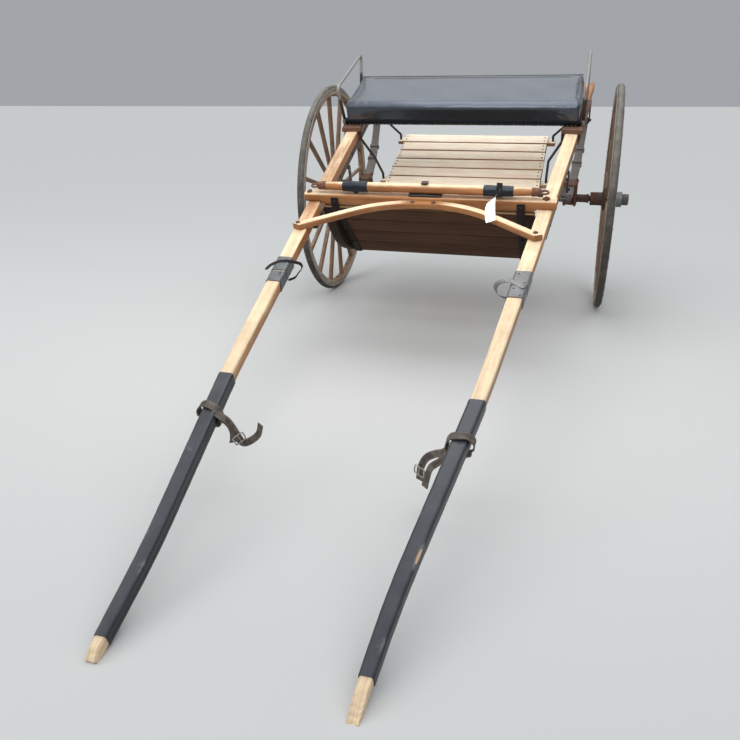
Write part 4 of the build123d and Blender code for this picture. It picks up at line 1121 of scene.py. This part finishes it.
def makeToeBoard():
    make = bodyMake
    run = np.hypot(make["toeFoot"][0] - make["toeTop"][0], make["toeFoot"][1] - make["toeTop"][1])
    pitch = run / make["toePlanks"]
    skins = []
    for k in range(make["toePlanks"]):
        low, high = k * pitch + make["toeGap"] / 2, (k + 1) * pitch - make["toeGap"] / 2
        grid = plank(make["toeHalf"], low, high, make["toeThick"], make["round"], k)
        # the top plank's top edge is drawn bare and pale: a painted highlight along that edge
        wear = edgeWear(3, 0.3) + 1.6 * (grid[..., 1] < 0.0030)
        skins.append(shell(onToe(grid), tone=(0.23 + k * 0.41) % 1, wear=wear))
    makePiece("toePlanks", skins, "darkWood", ["toe_board"])

    # ribs: a part of a circle stands proud of the chord by d = sqrt(R^2 - s^2) - (R - depth), s from its middle
    rib = make["rib"]
    halfRun = run / 2 - rib["inset"]
    radius = (halfRun ** 2 + rib["depth"] ** 2) / (2 * rib["depth"])
    s = np.linspace(-halfRun, halfRun, 40)
    deep = np.maximum(np.sqrt(radius ** 2 - s ** 2) - (radius - rib["depth"]), rib["least"])
    path = np.stack((np.full(40, rib["inner"] + rib["width"] / 2), s + run / 2, -deep / 2), -1)
    outline = roundedOutline(np.full(40, rib["width"]), deep, np.minimum(rib["round"], deep / 3))
    grid = onToe(carry(path, outline, (1, 0, 0), (0, 0, 1)))
    skins = [shell(grid * (way, 1, 1), tone=0.4, wear=edgeWear(3, 0.3)) for way in sides.values()]
    makePiece("toeRibs", skins, "ribWood", ["toe_ribs"])


def makeFloor():
    make = bodyMake
    length = np.hypot(make["rear"][0] - make["toeFoot"][0], make["rear"][1] - make["toeFoot"][1])
    start = length - len(make["ends"]) * make["pitch"]
    strap = make["strap"]
    skins = []
    nails = []
    for k, cut in enumerate(make["ends"]):
        low = start + k * make["pitch"] + make["gap"]
        high = low + make["pitch"] - make["gap"]
        grid = plank(make["half"], low, high, make["thick"], make["round"], k * 1.7, cut)
        skins.append(shell(onFloor(grid), tone=(k * 0.37) % 1, wear=edgeWear(3, 0.2)))
        seats = [(x + make["nailShift"] * (k % 3 - 1), low + share * (high - low), make["thick"])
                 for x in (-strap["place"], strap["place"]) for share in make["nailAt"]]
        nails += [onFloor(np.array(seat)) for seat in seats]
    makePiece("floorBoards", skins, "weatheredWood", ["floor_slats"])
    up = onFloor(np.array(((0, 0, 0), (0, 0, 1.0))))
    makePiece("floorNails", fasteners(nails, up[1] - up[0], make["nail"], domedHead, 10), "blackIron")

    # bearers across under the slats
    under = make["bearers"]
    skins = []
    for place in under["places"]:
        middle = under["top"] - under["depth"] / 2
        grid = crossBeam(under["half"], place, middle, under["width"], under["depth"], under["round"], 40)
        skins.append(shell(onFloor(grid), tone=place % 1, wear=edgeWear(3, 0.2)))
    makePiece("floorBearers", skins, "weatheredWood", ["floor_bearers"])

    # straps: flat iron bent round two corners, with bolt heads on the crossbar, the toe board and the floor
    corners = [(strap["place"], y, z) for y, z in strap["line"]]
    path = evenly(bentPath(corners, strap["bend"], 9), 0.012)
    band = follow(path, roundedOutline(strap["thick"], strap["width"], strap["round"]), (1, 0, 0))
    skins = [shell(band * (way, 1, 1), wear=edgeWear(3, 0.4)) for way in sides.values()]
    face = strap["line"][0][0] - strap["thick"] / 2
    for way in sides.values():
        skins += fasteners([(way * strap["place"], face, strap["boltHigh"])], (0, -1, 0), strap["bolt"])
        seats = np.array([(way * strap["place"], y, -strap["thick"]) for y in strap["screws"]])
        down = onToe(np.array(((0, 0, 0), (0, 0, -1.0))))
        skins += fasteners(onToe(seats), down[1] - down[0], strap["screw"])
    makePiece("bodyStraps", skins, "strapIron", ["body_straps"])


makeToeBoard()
makeFloor()
print("toe board and floor made")

# Springs under the splayed rails, and the axle

springMake = {
    "sideX": 0.565, "splay": 4.3, "radius": 0.6378, "centre": 0.7188, "leaf": 0.007, "leaves": 5, "length": 0.956,
    "step": 0.086, "width": 0.042, "eye": 0.015, "leafGap": 0.0005, "leafRound": 0.0016,
    # bands round the leaves: distance from the middle and the leaves held, then width, thickness and corner
    "clips": ((0.205, 4), (0.30, 3)), "clipBand": (0.016, 0.003, 0.001), "clipGap": 0.0035,
    # the share of its width that a leaf keeps at its last points
    "nose": (0.45, 0.72, 0.92),
}
railMake = {"front": -1.060, "rear": 0.500, "low": 0.344, "high": 0.389, "width": 0.044, "wall": 0.004, "round": 0.004,
            "bolts": (-0.98, -0.60, -0.33, 0.13, 0.36), "bolt": 0.0078, "boltHigh": 0.004,
            "soft": 0.0012}
axleMake = {"shoulder": 0.661, "square": 0.032, "collar": 0.023, "collarLength": 0.012, "arm": 0.015, "end": 0.833,
            "round": 0.003, "core": 0.010, "soft": 0.0015, "tip": 0.002}
lugMake = {"places": (-0.182, 0.160), "out": 0.0363, "high": 0.407, "spacing": 0.011}


def onSideLine(points):
    # From a frame along the right side line: turned by the splay and moved out to the side
    c, s = math.cos(math.radians(springMake["splay"])), math.sin(math.radians(springMake["splay"]))
    x, y, z = points[..., 0], points[..., 1], points[..., 2]
    return np.stack((springMake["sideX"] + x * c + y * s, -x * s + y * c, z), -1)


def mainLeaf(path, outline):
    # The main leaf turns right round its eyes, so up stays square to the path in its own plane
    heading = unit(np.gradient(path, axis=0))
    across = np.array((1.0, 0, 0))
    return carry(path, outline, across, np.cross(heading, across))


def makeSpring(side):
    # Each leaf is a part of one circle below its centre. The longest leaf curls on round an eye at each end.
    make = springMake
    mirror = (sides[side], 1, 1)
    skins = []
    for number in range(make["leaves"]):
        radius = make["radius"] + (number + 0.5) * make["leaf"]
        half = (make["length"] / 2 - number * make["step"]) / make["radius"]
        angle = np.linspace(-half, half, 46)
        path = np.stack((0 * angle, radius * np.sin(angle), make["centre"] - radius * np.cos(angle)), -1)
        if number == 0:
            curl = make["eye"] - make["leaf"] / 2
            turn = np.linspace(0.15, 5.3, 26)
            eyeReach = radius - curl
            eye = np.array((0, eyeReach * math.sin(half), make["centre"] - eyeReach * math.cos(half)))
            out = np.array((0, math.sin(half), -math.cos(half)))
            on = np.array((0, math.cos(half), math.sin(half)))
            rolled = eye + curl * (np.cos(turn)[:, None] * out + np.sin(turn)[:, None] * on)
            path = np.concatenate(((rolled * (1, -1, 1))[::-1], path, rolled))
        width = np.full(len(path), make["width"])
        if number > 0:
            width[:3] *= make["nose"]
            width[-3:] *= make["nose"][::-1]
        outline = roundedOutline(width, make["leaf"] - make["leafGap"], make["leafRound"])
        grid = follow(path, outline, (0, 0, 1)) if number else mainLeaf(path, outline)
        skins.append(shell(onSideLine(grid) * mirror, wear=edgeWear(3, 0.3)))
    for place, layers in make["clips"]:
        for way in (-1, 1):
            angle = way * place / make["radius"]
            out = np.array((0, math.sin(angle), -math.cos(angle)))
            low = make["radius"] - make["clipGap"]
            high = make["radius"] + layers * make["leaf"] + make["clipGap"]
            centre = np.array((0, 0, make["centre"])) + out * (low + high) / 2
            across = np.array((1.0, 0, 0))
            loop = roundedOutline(make["width"] + 2 * make["clipGap"], high - low, 0.004, 3)
            path = centre + loop[:, :1] * across + loop[:, 1:] * out
            heading = unit(np.roll(path, -1, 0) - np.roll(path, 1, 0))
            on = np.array((0, math.cos(angle), math.sin(angle)))
            band = carry(path, roundedOutline(*make["clipBand"]), on, np.cross(heading, on))
            skins.append(shell(onSideLine(band) * mirror, ring=True))
    makePiece("springLeaves_" + side, skins, "greyPaint", ["leaf_spring_" + side])


def makeRail(side):
    # A square tube: its outer skin from front to rear and its inner skin back again, as one ring of rows
    make = railMake
    mirror = (sides[side], 1, 1)
    front, rear, round = make["front"], make["rear"], make["round"]
    soft = make["soft"]
    along = np.concatenate(((front, front + soft), np.linspace(front + 0.03, rear - 0.03, 50),
                            (rear - soft, rear), (rear, front)))
    drawn = np.zeros(len(along))
    drawn[[0, -3]] = 2 * soft
    drawn[-2:] = 2 * make["wall"]
    radius = round - drawn / 3
    outline = roundedOutline(make["width"] - drawn, make["high"] - make["low"] - drawn, radius)
    path = np.stack((0 * along, along, np.full(len(along), (make["low"] + make["high"]) / 2)), -1)
    grid = carry(path, outline, (1, 0, 0), (0, 0, 1))
    skin = shell(onSideLine(grid) * mirror, ring=True, wear=edgeWear(3, 0.3))
    makePiece("railTube_" + side, [skin], "railPaint", ["side_rail_" + side])

    # hexagon heads on both faces of the rail, and on the lugs of the seat bracket
    skins = []
    for way in (-1, 1):
        seats = [(way * make["width"] / 2, y, (make["low"] + make["high"]) / 2 + make["boltHigh"]) for y in make["bolts"]]
        seats += [(way * lugMake["out"], y + step, lugMake["high"]) for y in lugMake["places"]
                  for step in (-lugMake["spacing"], lugMake["spacing"])]
        ends = onSideLine(np.array(((0, 0, 0), (way, 0, 0.0))))
        skins += fasteners(onSideLine(np.array(seats)) * mirror, (ends[1] - ends[0]) * mirror, make["bolt"], hexHead, 6)
    makePiece("railBolts_" + side, skins, "blackIron")


def makeAxle():
    # A square bar, a collar at each shoulder and a round arm for each wheel
    make = axleMake
    skins = [shell(crossBeam(make["shoulder"], 0, 0, make["square"], make["square"], make["round"], 60),
                   wear=edgeWear(3, 0.3))]
    start = make["shoulder"] - make["collarLength"]
    collar = make["collar"]
    core, soft, tip, shoulder = make["core"], make["soft"], make["tip"], make["shoulder"]
    ring = ((start, core), (start, collar - soft), (start + soft, collar), (shoulder - soft, collar),
            (shoulder, collar - soft), (shoulder, core))
    arm = ((start, make["arm"]), (make["end"] - tip, make["arm"]), (make["end"], make["arm"] - tip))
    for way in sides.values():
        skins += [shell(lathe(profile, 32) * (way, 1, 1)) for profile in (ring, arm)]
    makePiece("axleIron", skins, "hubIron", ["axle"])


makeAxle()
for side in sides:
    makeSpring(side)
    makeRail(side)
print("axle, rails and springs made")

# Seat: board, cushion with its tacks, arm rails

seatMake = {
    # the cushion's section before it is filled, from its front foot round over the top: y, z, reach of each curve
    "section": ((-0.172, 0.474, 0.005), (-0.174, 0.562, 0.034), (0.167, 0.5865, 0.010), (0.167, 0.474, 0.005)),
    "half": 0.580, "endRound": 0.009, "voxel": 0.0065, "pressure": 3.0, "cap": 0.0045,
    "frames": 20, "quality": 4,
    # waves in the filled cover, each by its depth: puckers down the front, hollows and ripples over the top
    "puckers": 9, "puckerSpan": 1.17, "puckerDeep": 0.0010, "hollowDeep": 0.0018, "rippleDeep": 0.0010,
    # the finished cushion's reach on each axis: low, high
    "reach": ((-0.5843, 0.5843), (-0.1818, 0.171), (0.4703, 0.5903)),
    "board": {"half": 0.590, "front": -0.160, "rear": 0.175, "low": 0.455, "thick": 0.015, "round": 0.0025},
    # the cover's lower edge, brought down over the front of the board: y, z
    "apron": ((-0.1745, 0.4900), (-0.1800, 0.4810), (-0.1780, 0.4700), (-0.1705, 0.4590), (-0.1660, 0.4562),
              (-0.1612, 0.4568), (-0.1606, 0.4690), (-0.1680, 0.4740)),
    "apronHalf": 0.583, "apronFree": -0.165,
    "piping": {"half": 0.576, "sewn": (-0.572, 0.568), "y": 0.1672, "z": 0.5868, "radius": 0.0028, "stitch": 0.0042,
               "spacing": 0.0092, "thread": 0.0009},
    "tacks": {"half": 0.566, "spacing": 0.0195, "radius": 0.0026, "y": -0.1722, "z": 0.4612},
}
# the rubbed height is where the rail starts to be drawn paler: partly rubbed paint, partly painted top light
armMake = {"place": 0.5983, "base": 0.455, "radius": 0.008,
           "points": ((-0.150, 0.020), (-0.206, 0.202), (0.244, 0.226), (0.170, 0.020)),
           "reach": 0.036, "rubbed": 0.575, "lift": 0.0004, "footHalf": 0.018, "footHigh": 0.026, "footThick": 0.014,
           "footRound": 0.005, "boltOut": 0.0058, "boltApart": 0.009, "bolt": 0.0048}


def makeSeatBoard():
    make = seatMake["board"]
    y, z = (make["front"] + make["rear"]) / 2, make["low"] + make["thick"] / 2
    grid = crossBeam(make["half"], y, z, make["rear"] - make["front"], make["thick"], make["round"], 60)
    makePiece("seatPlank", [shell(grid, tone=0.6, wear=edgeWear(3, 0.5))], "darkWood", ["seat_board"])


def cushionForm():
    # The section's corners become quadratic curves, and it is drawn in at both ends by a rounded edge:
    # drawn = round * (1 - sqrt(1 - (1 - edge / round)^2))
    make = seatMake
    y, z, reach = np.array(make["section"]).T
    corners = np.stack((y, z), -1)
    before = unit(np.roll(corners, 1, 0) - corners) * reach[:, None]
    after = unit(np.roll(corners, -1, 0) - corners) * reach[:, None]
    t = np.linspace(0, 1, 9)[:, None]
    section = np.concatenate([corner + (1 - t) ** 2 * back + t ** 2 * ahead for corner, back,
                              ahead in zip(corners, before, after)])
    round = make["endRound"]
    edge = np.linspace(0, round, 6)
    drawn = round * (1 - np.sqrt(1 - (1 - edge / round) ** 2))
    x = np.concatenate((-make["half"] + edge, np.linspace(-make["half"] + 0.04, make["half"] - 0.04, 80),
                        (make["half"] - edge)[::-1]))
    draw = np.concatenate((drawn, np.zeros(80), drawn[::-1]))[:, None, None]
    middle = (section.min(0) + section.max(0)) / 2
    half = np.ptp(section, axis=0) / 2
    grid = middle + (section - middle) * (1 - draw / half)
    return np.concatenate((np.broadcast_to(x[:, None, None], grid.shape[:2] + (1,)), grid), -1)


def readPoints(mesh):
    flat = np.empty(len(mesh.vertices) * 3, np.float32)
    mesh.vertices.foreach_get("co", flat)
    return flat.reshape(-1, 3).astype(float)


def simulateCushion(piece):
    # Remesh, then a short cloth run under air pressure, each point's move capped, then one subdivision
    make = seatMake
    bpy.context.view_layer.objects.active = piece
    remesh = piece.modifiers.new("even", "REMESH")
    remesh.mode = "VOXEL"
    remesh.voxel_size = make["voxel"]
    bpy.ops.object.modifier_apply(modifier=remesh.name)
    before = readPoints(piece.data)
    cloth = piece.modifiers.new("air", "CLOTH")
    cloth.settings.use_pressure = True
    cloth.settings.uniform_pressure_force = make["pressure"]
    cloth.settings.effector_weights.gravity = 0.0
    cloth.settings.quality = make["quality"]
    scene = bpy.context.scene
    for step in range(1, make["frames"] + 1):
        scene.frame_set(step)
    bpy.ops.object.modifier_apply(modifier=cloth.name)
    scene.frame_set(1)
    move = readPoints(piece.data) - before
    length = np.linalg.norm(move, axis=1, keepdims=True) + 1e-9
    capped = before + move * np.minimum(1, make["cap"] / length)
    piece.data.vertices.foreach_set("co", capped.astype(np.float32).ravel())
    smooth = piece.modifiers.new("smooth", "SUBSURF")
    smooth.levels = 1
    smooth.render_levels = 1
    bpy.ops.object.modifier_apply(modifier=smooth.name)
    return readPoints(piece.data)


def makeCushion():
    make = seatMake
    piece = makePiece("seatPad", [shell(cushionForm())], "blackVinyl", ["seat_cushion"], sharp=70)
    # puckers: shallow waves that run down the front from its top edge, and soft hollows over the top
    x, y, z = ((simulateCushion(piece) - axlePlace) @ tiltTurn).T
    front = np.clip((-0.146 - y) / 0.03, 0, 1)
    wave = np.sin(x * 2 * np.pi * make["puckers"] / make["puckerSpan"]) + 0.6 * np.sin(x * 41 + 1.3)
    y = y + make["puckerDeep"] * front * wave * np.clip((z - 0.47) / 0.1, 0, 1)
    top = np.clip((z - 0.55) / 0.02, 0, 1) * np.clip((0.15 - y) / 0.05, 0, 1)
    hollow = 0.5 + 0.5 * np.sin(x * 9 + 0.7) * np.sin(y * 21)
    z = z - make["hollowDeep"] * top * hollow + make["rippleDeep"] * top * np.sin(x * 23 + y * 30)
    # each axis drawn out to its full reach: value' = low + (value - least) * (high - low) / (most - least)
    spread = np.stack([low + (value - value.min()) * (high - low) / np.ptp(value)
                       for value, (low, high) in zip((x, y, z), make["reach"])], -1)
    mesh = piece.data
    mesh.vertices.foreach_set("co", park(spread).astype(np.float32).ravel())
    mesh.update()
    mesh.shade_smooth()
    if not mesh.materials:
        mesh.materials.append(finishes["blackVinyl"])
    print("cushion filled,", len(mesh.polygons), "faces")


def makeSeatTrim():
    # The cover's edge over the front of the board with its tacks, and stitched piping along the rear top edge
    make = seatMake
    x = np.linspace(-make["apronHalf"], make["apronHalf"], 220)
    fold = np.array(make["apron"])
    ripple = 0.0005 * np.sin(x * 96) + 0.0004 * np.sin(x * 211 + 1)
    grid = np.empty((len(x), len(fold), 3))
    grid[..., 0] = x[:, None]
    grid[..., 1] = fold[:, 0] + ripple[:, None] * (fold[:, 0] < make["apronFree"])
    grid[..., 2] = fold[:, 1]
    makePiece("seatApron", [shell(grid)], "foldVinyl", sharp=60)
    tack = make["tacks"]
    places = np.arange(-tack["half"], tack["half"] + 0.001, tack["spacing"])
    seats = np.stack((places, np.full(len(places), tack["y"]), np.full(len(places), tack["z"])), -1)
    makePiece("seatTacks", fasteners(seats, (0, -1, -0.6), tack["radius"], domedHead, 10), "brightSteel")
    line = make["piping"]
    cord = np.stack((np.linspace(-line["half"], line["half"], 90), np.full(90, line["y"]), np.full(90, line["z"])), -1)
    skins = [shell(follow(cord, ovalOutline(line["radius"], line["radius"], 2.0, 10), (0, 0, 1)))]
    makePiece("seatPiping", skins, "blackVinyl")
    starts = np.arange(*line["sewn"], line["spacing"])
    lift = line["radius"] - line["thread"] * 0.3
    stitches = []
    for start in starts:
        ends = np.array([(start + share * line["stitch"], line["y"] - lift * 0.6, line["z"] + lift * 0.8)
                         for share in (0, 0.5, 1)])
        stitches.append(shell(follow(ends, ovalOutline(line["thread"], line["thread"], 2.0, 6), (0, 0, 1))))
    makePiece("seatStitches", stitches, "thread")


def makeArmRail(side):
    make = armMake
    mirror = (sides[side], 1, 1)
    points = [(make["place"], y, make["base"] + height) for y, height in make["points"]]
    path = evenly(bentPath(points, make["reach"], 11), 0.007)
    skin = follow(path, ovalOutline(make["radius"], make["radius"], 2.0, 16), (1, 0, 0))
    # from the rubbed height up the rail is drawn paler: partly rubbed paint, partly a painted top light on its top
    rubbed = 0.45 * np.clip((skin[..., 2] - make["rubbed"]) / 0.03, 0, 1) - 0.25
    skins = [shell(skin * mirror, wear=rubbed)]
    low, high = make["base"] + make["lift"], make["base"] + make["footHigh"]
    for foot in (points[0], points[-1]):
        start, end = [(make["place"] - 0.001, foot[1] + way * make["footHalf"], (low + high) / 2) for way in (-1, 1)]
        lug = bar(start, end, (1, 0, 0), (0, 0, 1), make["footThick"], high - low, make["footRound"], 6)
        skins.append(shell(lug * mirror))
        seat = np.array((make["place"] + make["boltOut"], foot[1], (low + high) / 2)) * mirror
        apart = (0, make["boltApart"], 0)
        skins += fasteners([seat + apart, seat - apart], (sides[side], 0, 0), make["bolt"], hexHead, 6)
    makePiece("armRod_" + side, skins, "armSteel", ["arm_rail_" + side])


makeSeatBoard()
makeCushion()
makeSeatTrim()
for side in sides:
    makeArmRail(side)
print("seat made")

# Clips on the shafts and the leather loops round the sleeves

clipMake = {
    "front": -1.446, "lengths": (0.092, 0.066), "spacing": 0.008, "sheet": 0.003,
    # the rivets of a clip: across its top, share of its length
    "rivets": ((-0.012, 0.3), (0.013, -0.3)), "rivet": 0.0048, "widths": {"left": 0.012, "right": 0.017},
    "thick": 0.0028, "twists": {"left": 75, "right": 60},
    "finishes": {"left": ("wornSteel", "strapIron"), "right": ("paleSteel", "paleSteel")},
    # the strap over each clip, from its outer edge over the top and round in a loop to the inner face: x out, y, z
    "straps": {
        "left": ((0.4942, -1.5462, 0.4405), (0.4867, -1.5131, 0.4405), (0.4639, -1.4866, 0.4405),
                 (0.4331, -1.4804, 0.4410), (0.4052, -1.4797, 0.4380), (0.3790, -1.4815, 0.4320),
                 (0.3676, -1.4993, 0.4260), (0.3727, -1.5273, 0.4210), (0.3775, -1.5546, 0.4180),
                 (0.3972, -1.5726, 0.4170)),
        "right": ((0.4686, -1.5561, 0.4405), (0.4442, -1.5372, 0.4405), (0.4118, -1.5170, 0.4410),
                  (0.3848, -1.5217, 0.4370), (0.3693, -1.5345, 0.4300), (0.3692, -1.5538, 0.4240),
                  (0.3818, -1.5753, 0.4190), (0.4000, -1.5868, 0.4170), (0.4145, -1.5882, 0.4170)),
    },
}
tugMake = {
    "place": -2.300, "width": 0.028, "thick": 0.0042, "tailShare": 0.82,
    "seamIn": 0.0032, "seamDeep": 0.0001, "stitchStep": 0.0025, "thread": 0.0005,
    # the buckle's frame as width, height and corner, its tongue as places along the tail and over it
    "buckleFrame": (0.036, 0.030, 0.006), "buckleLift": 0.0035, "buckleWire": 0.0022, "tongueWire": 0.0015,
    "tongue": ((-0.016, 0.0045), (-0.006, 0.0058), (0.005, 0.0060), (0.0165, 0.0056)),
    # each strap's points: inward from the middle of the shaft, height over its top, along the shaft
    "loops": {
        "right": {
            "arch": ((-0.035, -0.031, 0.0), (-0.037, -0.008, 0.0), (-0.018, 0.0085, 0.002), (0.006, 0.0100, 0.0),
                     (0.030, 0.001, 0.0), (0.041, -0.024, 0.001), (0.040, -0.048, 0.002), (0.024, -0.060, 0.0),
                     (-0.004, -0.062, 0.0), (-0.029, -0.052, 0.0)),
            "tails": (((0.036, -0.036, 0.006), (0.051, -0.070, 0.008), (0.080, -0.087, 0.010), (0.104, -0.108, 0.010),
                       (0.121, -0.150, 0.008), (0.126, -0.196, 0.004)),
                      ((0.034, -0.052, -0.010), (0.060, -0.088, -0.014), (0.085, -0.117, -0.014),
                       (0.098, -0.160, -0.012), (0.108, -0.206, -0.012))),
            "twists": (70, 60), "buckle": (0.122, -0.158, 0.002),
        },
        "left": {
            "arch": ((-0.041, -0.032, 0.0), (-0.042, -0.012, 0.004), (-0.024, 0.0075, 0.006), (0.004, 0.0085, 0.002),
                     (0.030, -0.008, -0.004), (0.036, -0.034, -0.008), (0.024, -0.056, -0.006), (-0.002, -0.062, 0.0),
                     (-0.030, -0.055, 0.0)),
            "tails": (((0.026, -0.004, -0.016), (0.046, -0.012, -0.020), (0.062, -0.030, -0.020),
                       (0.071, -0.068, -0.016), (0.082, -0.121, -0.010), (0.100, -0.128, 0.004), (0.128, -0.106, 0.016),
                       (0.140, -0.070, 0.024)),
                      ((0.020, -0.050, 0.012), (0.036, -0.074, 0.016), (0.043, -0.102, 0.016), (0.040, -0.132, 0.014),
                       (0.034, -0.152, 0.012))),
            "twists": (60, 50), "buckle": (0.079, -0.104, -0.013),
        },
    },
}


def makeClip(side):
    make = clipMake
    way = sides[side]
    skins = []
    rear = make["front"]
    for length in make["lengths"]:
        grid = foldedRing(np.linspace(rear - length, rear, 16), make["sheet"], 4, 0.0008)
        skins.append(shell(grid * (way, 1, 1), ring=True))
        middle = rear - length / 2
        centre = shaftLine(np.array((middle,)))[0][0]
        top = shaftMake["top"] + make["sheet"]
        seats = [(way * (centre + x), middle + length * y, top) for x, y in make["rivets"]]
        skins += fasteners(seats, (0, 0, 1), make["rivet"], domedHead)
        rear = rear - length - make["spacing"]
    plate, strap = make["finishes"][side]
    makePiece("clipPlates_" + side, skins, plate, ["shaft_clip_" + side])
    path = evenly(smoothThrough(make["straps"][side], 60), 0.004)
    flat = np.cross((0.0, 0.0, 1.0), unit(np.gradient(path, axis=0)))
    grid = strapShells(path, make["widths"][side], make["thick"], way, make["twists"][side], flat)[0]
    makePiece("clipLoop_" + side, [shell(grid)], strap)


def strapShells(path, width, thick, way, twist, along=(0.0, 1.0, 0.0)):
    # A flat strap along a smooth path, its width along the shaft at first and then turned by a twist:
    # across' = across cos t + out sin t
    heading = unit(np.gradient(path, axis=0))
    along = np.broadcast_to(along, heading.shape)
    flat = unit(along - heading * (heading * along).sum(1, keepdims=True))
    turn = np.radians(np.linspace(0, 1, len(path)) ** 0.7 * twist)[:, None]
    across = flat * np.cos(turn) + np.cross(flat, heading) * np.sin(turn)
    out = np.cross(across, heading)
    return carry(path, roundedOutline(width, thick, thick * 0.36), across, out) * (way, 1, 1), across, out


def makeTug(side):
    make = tugMake
    way = sides[side]
    centre = shaftLine(np.array((make["place"],)))[0][0]
    look = make["loops"][side]

    def placed(points):
        inward, height, along = np.array(points).T
        return np.stack((centre - inward, make["place"] + along, shaftMake["top"] + height), -1)

    straps = []
    stitches = []
    arch = smoothThrough(placed(look["arch"]), 60)
    tails = [smoothThrough(placed(tail), 46) for tail in look["tails"]]
    tailWidth = make["width"] * make["tailShare"]
    for path, width, twist in ((arch, make["width"], 0), *zip(tails, (tailWidth,) * 2, look["twists"])):
        grid, across, out = strapShells(path, width, make["thick"], way, twist)
        straps.append(shell(grid, tone=0.3))
        for edge in (-1, 1):
            for face in (-1, 1):
                proud = make["thick"] / 2 - make["seamDeep"]
                line = path + across * (edge * (width / 2 - make["seamIn"])) + out * (face * proud)
                outline = ovalOutline(make["thread"], make["thread"], 2.0, 4)
                thread = follow(evenly(line[1:-1], make["stitchStep"]), outline, (0.1, 1, 0.2))
                stitches.append(shell(thread * (way, 1, 1)))
    makePiece("tugStraps_" + side, straps, "brownLeather", ["leather_tug_" + side])
    makePiece("tugStitches_" + side, stitches, "thread")
    # buckle: a square frame round the tail with its tongue across
    place = placed([look["buckle"]])[0]
    tail = tails[0]
    nearest = np.argmin(np.linalg.norm(tail - place, axis=1))
    heading = unit(np.gradient(tail, axis=0))[nearest]
    across = strapShells(tail, make["width"], make["thick"], way, look["twists"][0])[1:]
    along, out = [vectors[nearest] for vectors in across]
    loop = roundedOutline(*make["buckleFrame"], 4)
    path = tail[nearest] + loop[:, :1] * along + loop[:, 1:] * heading + out * make["buckleLift"]
    tangent = unit(np.roll(path, -1, 0) - np.roll(path, 1, 0))
    frameGrid = carry(path, ovalOutline(make["buckleWire"], make["buckleWire"], 2.0, 8), out, np.cross(tangent, out))
    tongue = np.stack([tail[nearest] + heading * step + out * lift for step, lift in make["tongue"]])
    outline = ovalOutline(make["tongueWire"], make["tongueWire"], 2.0, 8)
    tongueGrid = follow(evenly(tongue, 0.004), outline, (0, 1, 0))
    skins = [shell(frameGrid * (way, 1, 1), ring=True), shell(tongueGrid * (way, 1, 1))]
    makePiece("tugBuckle_" + side, skins, "brightSteel")


for side in sides:
    makeClip(side)
    makeTug(side)
print("clips and tugs made")
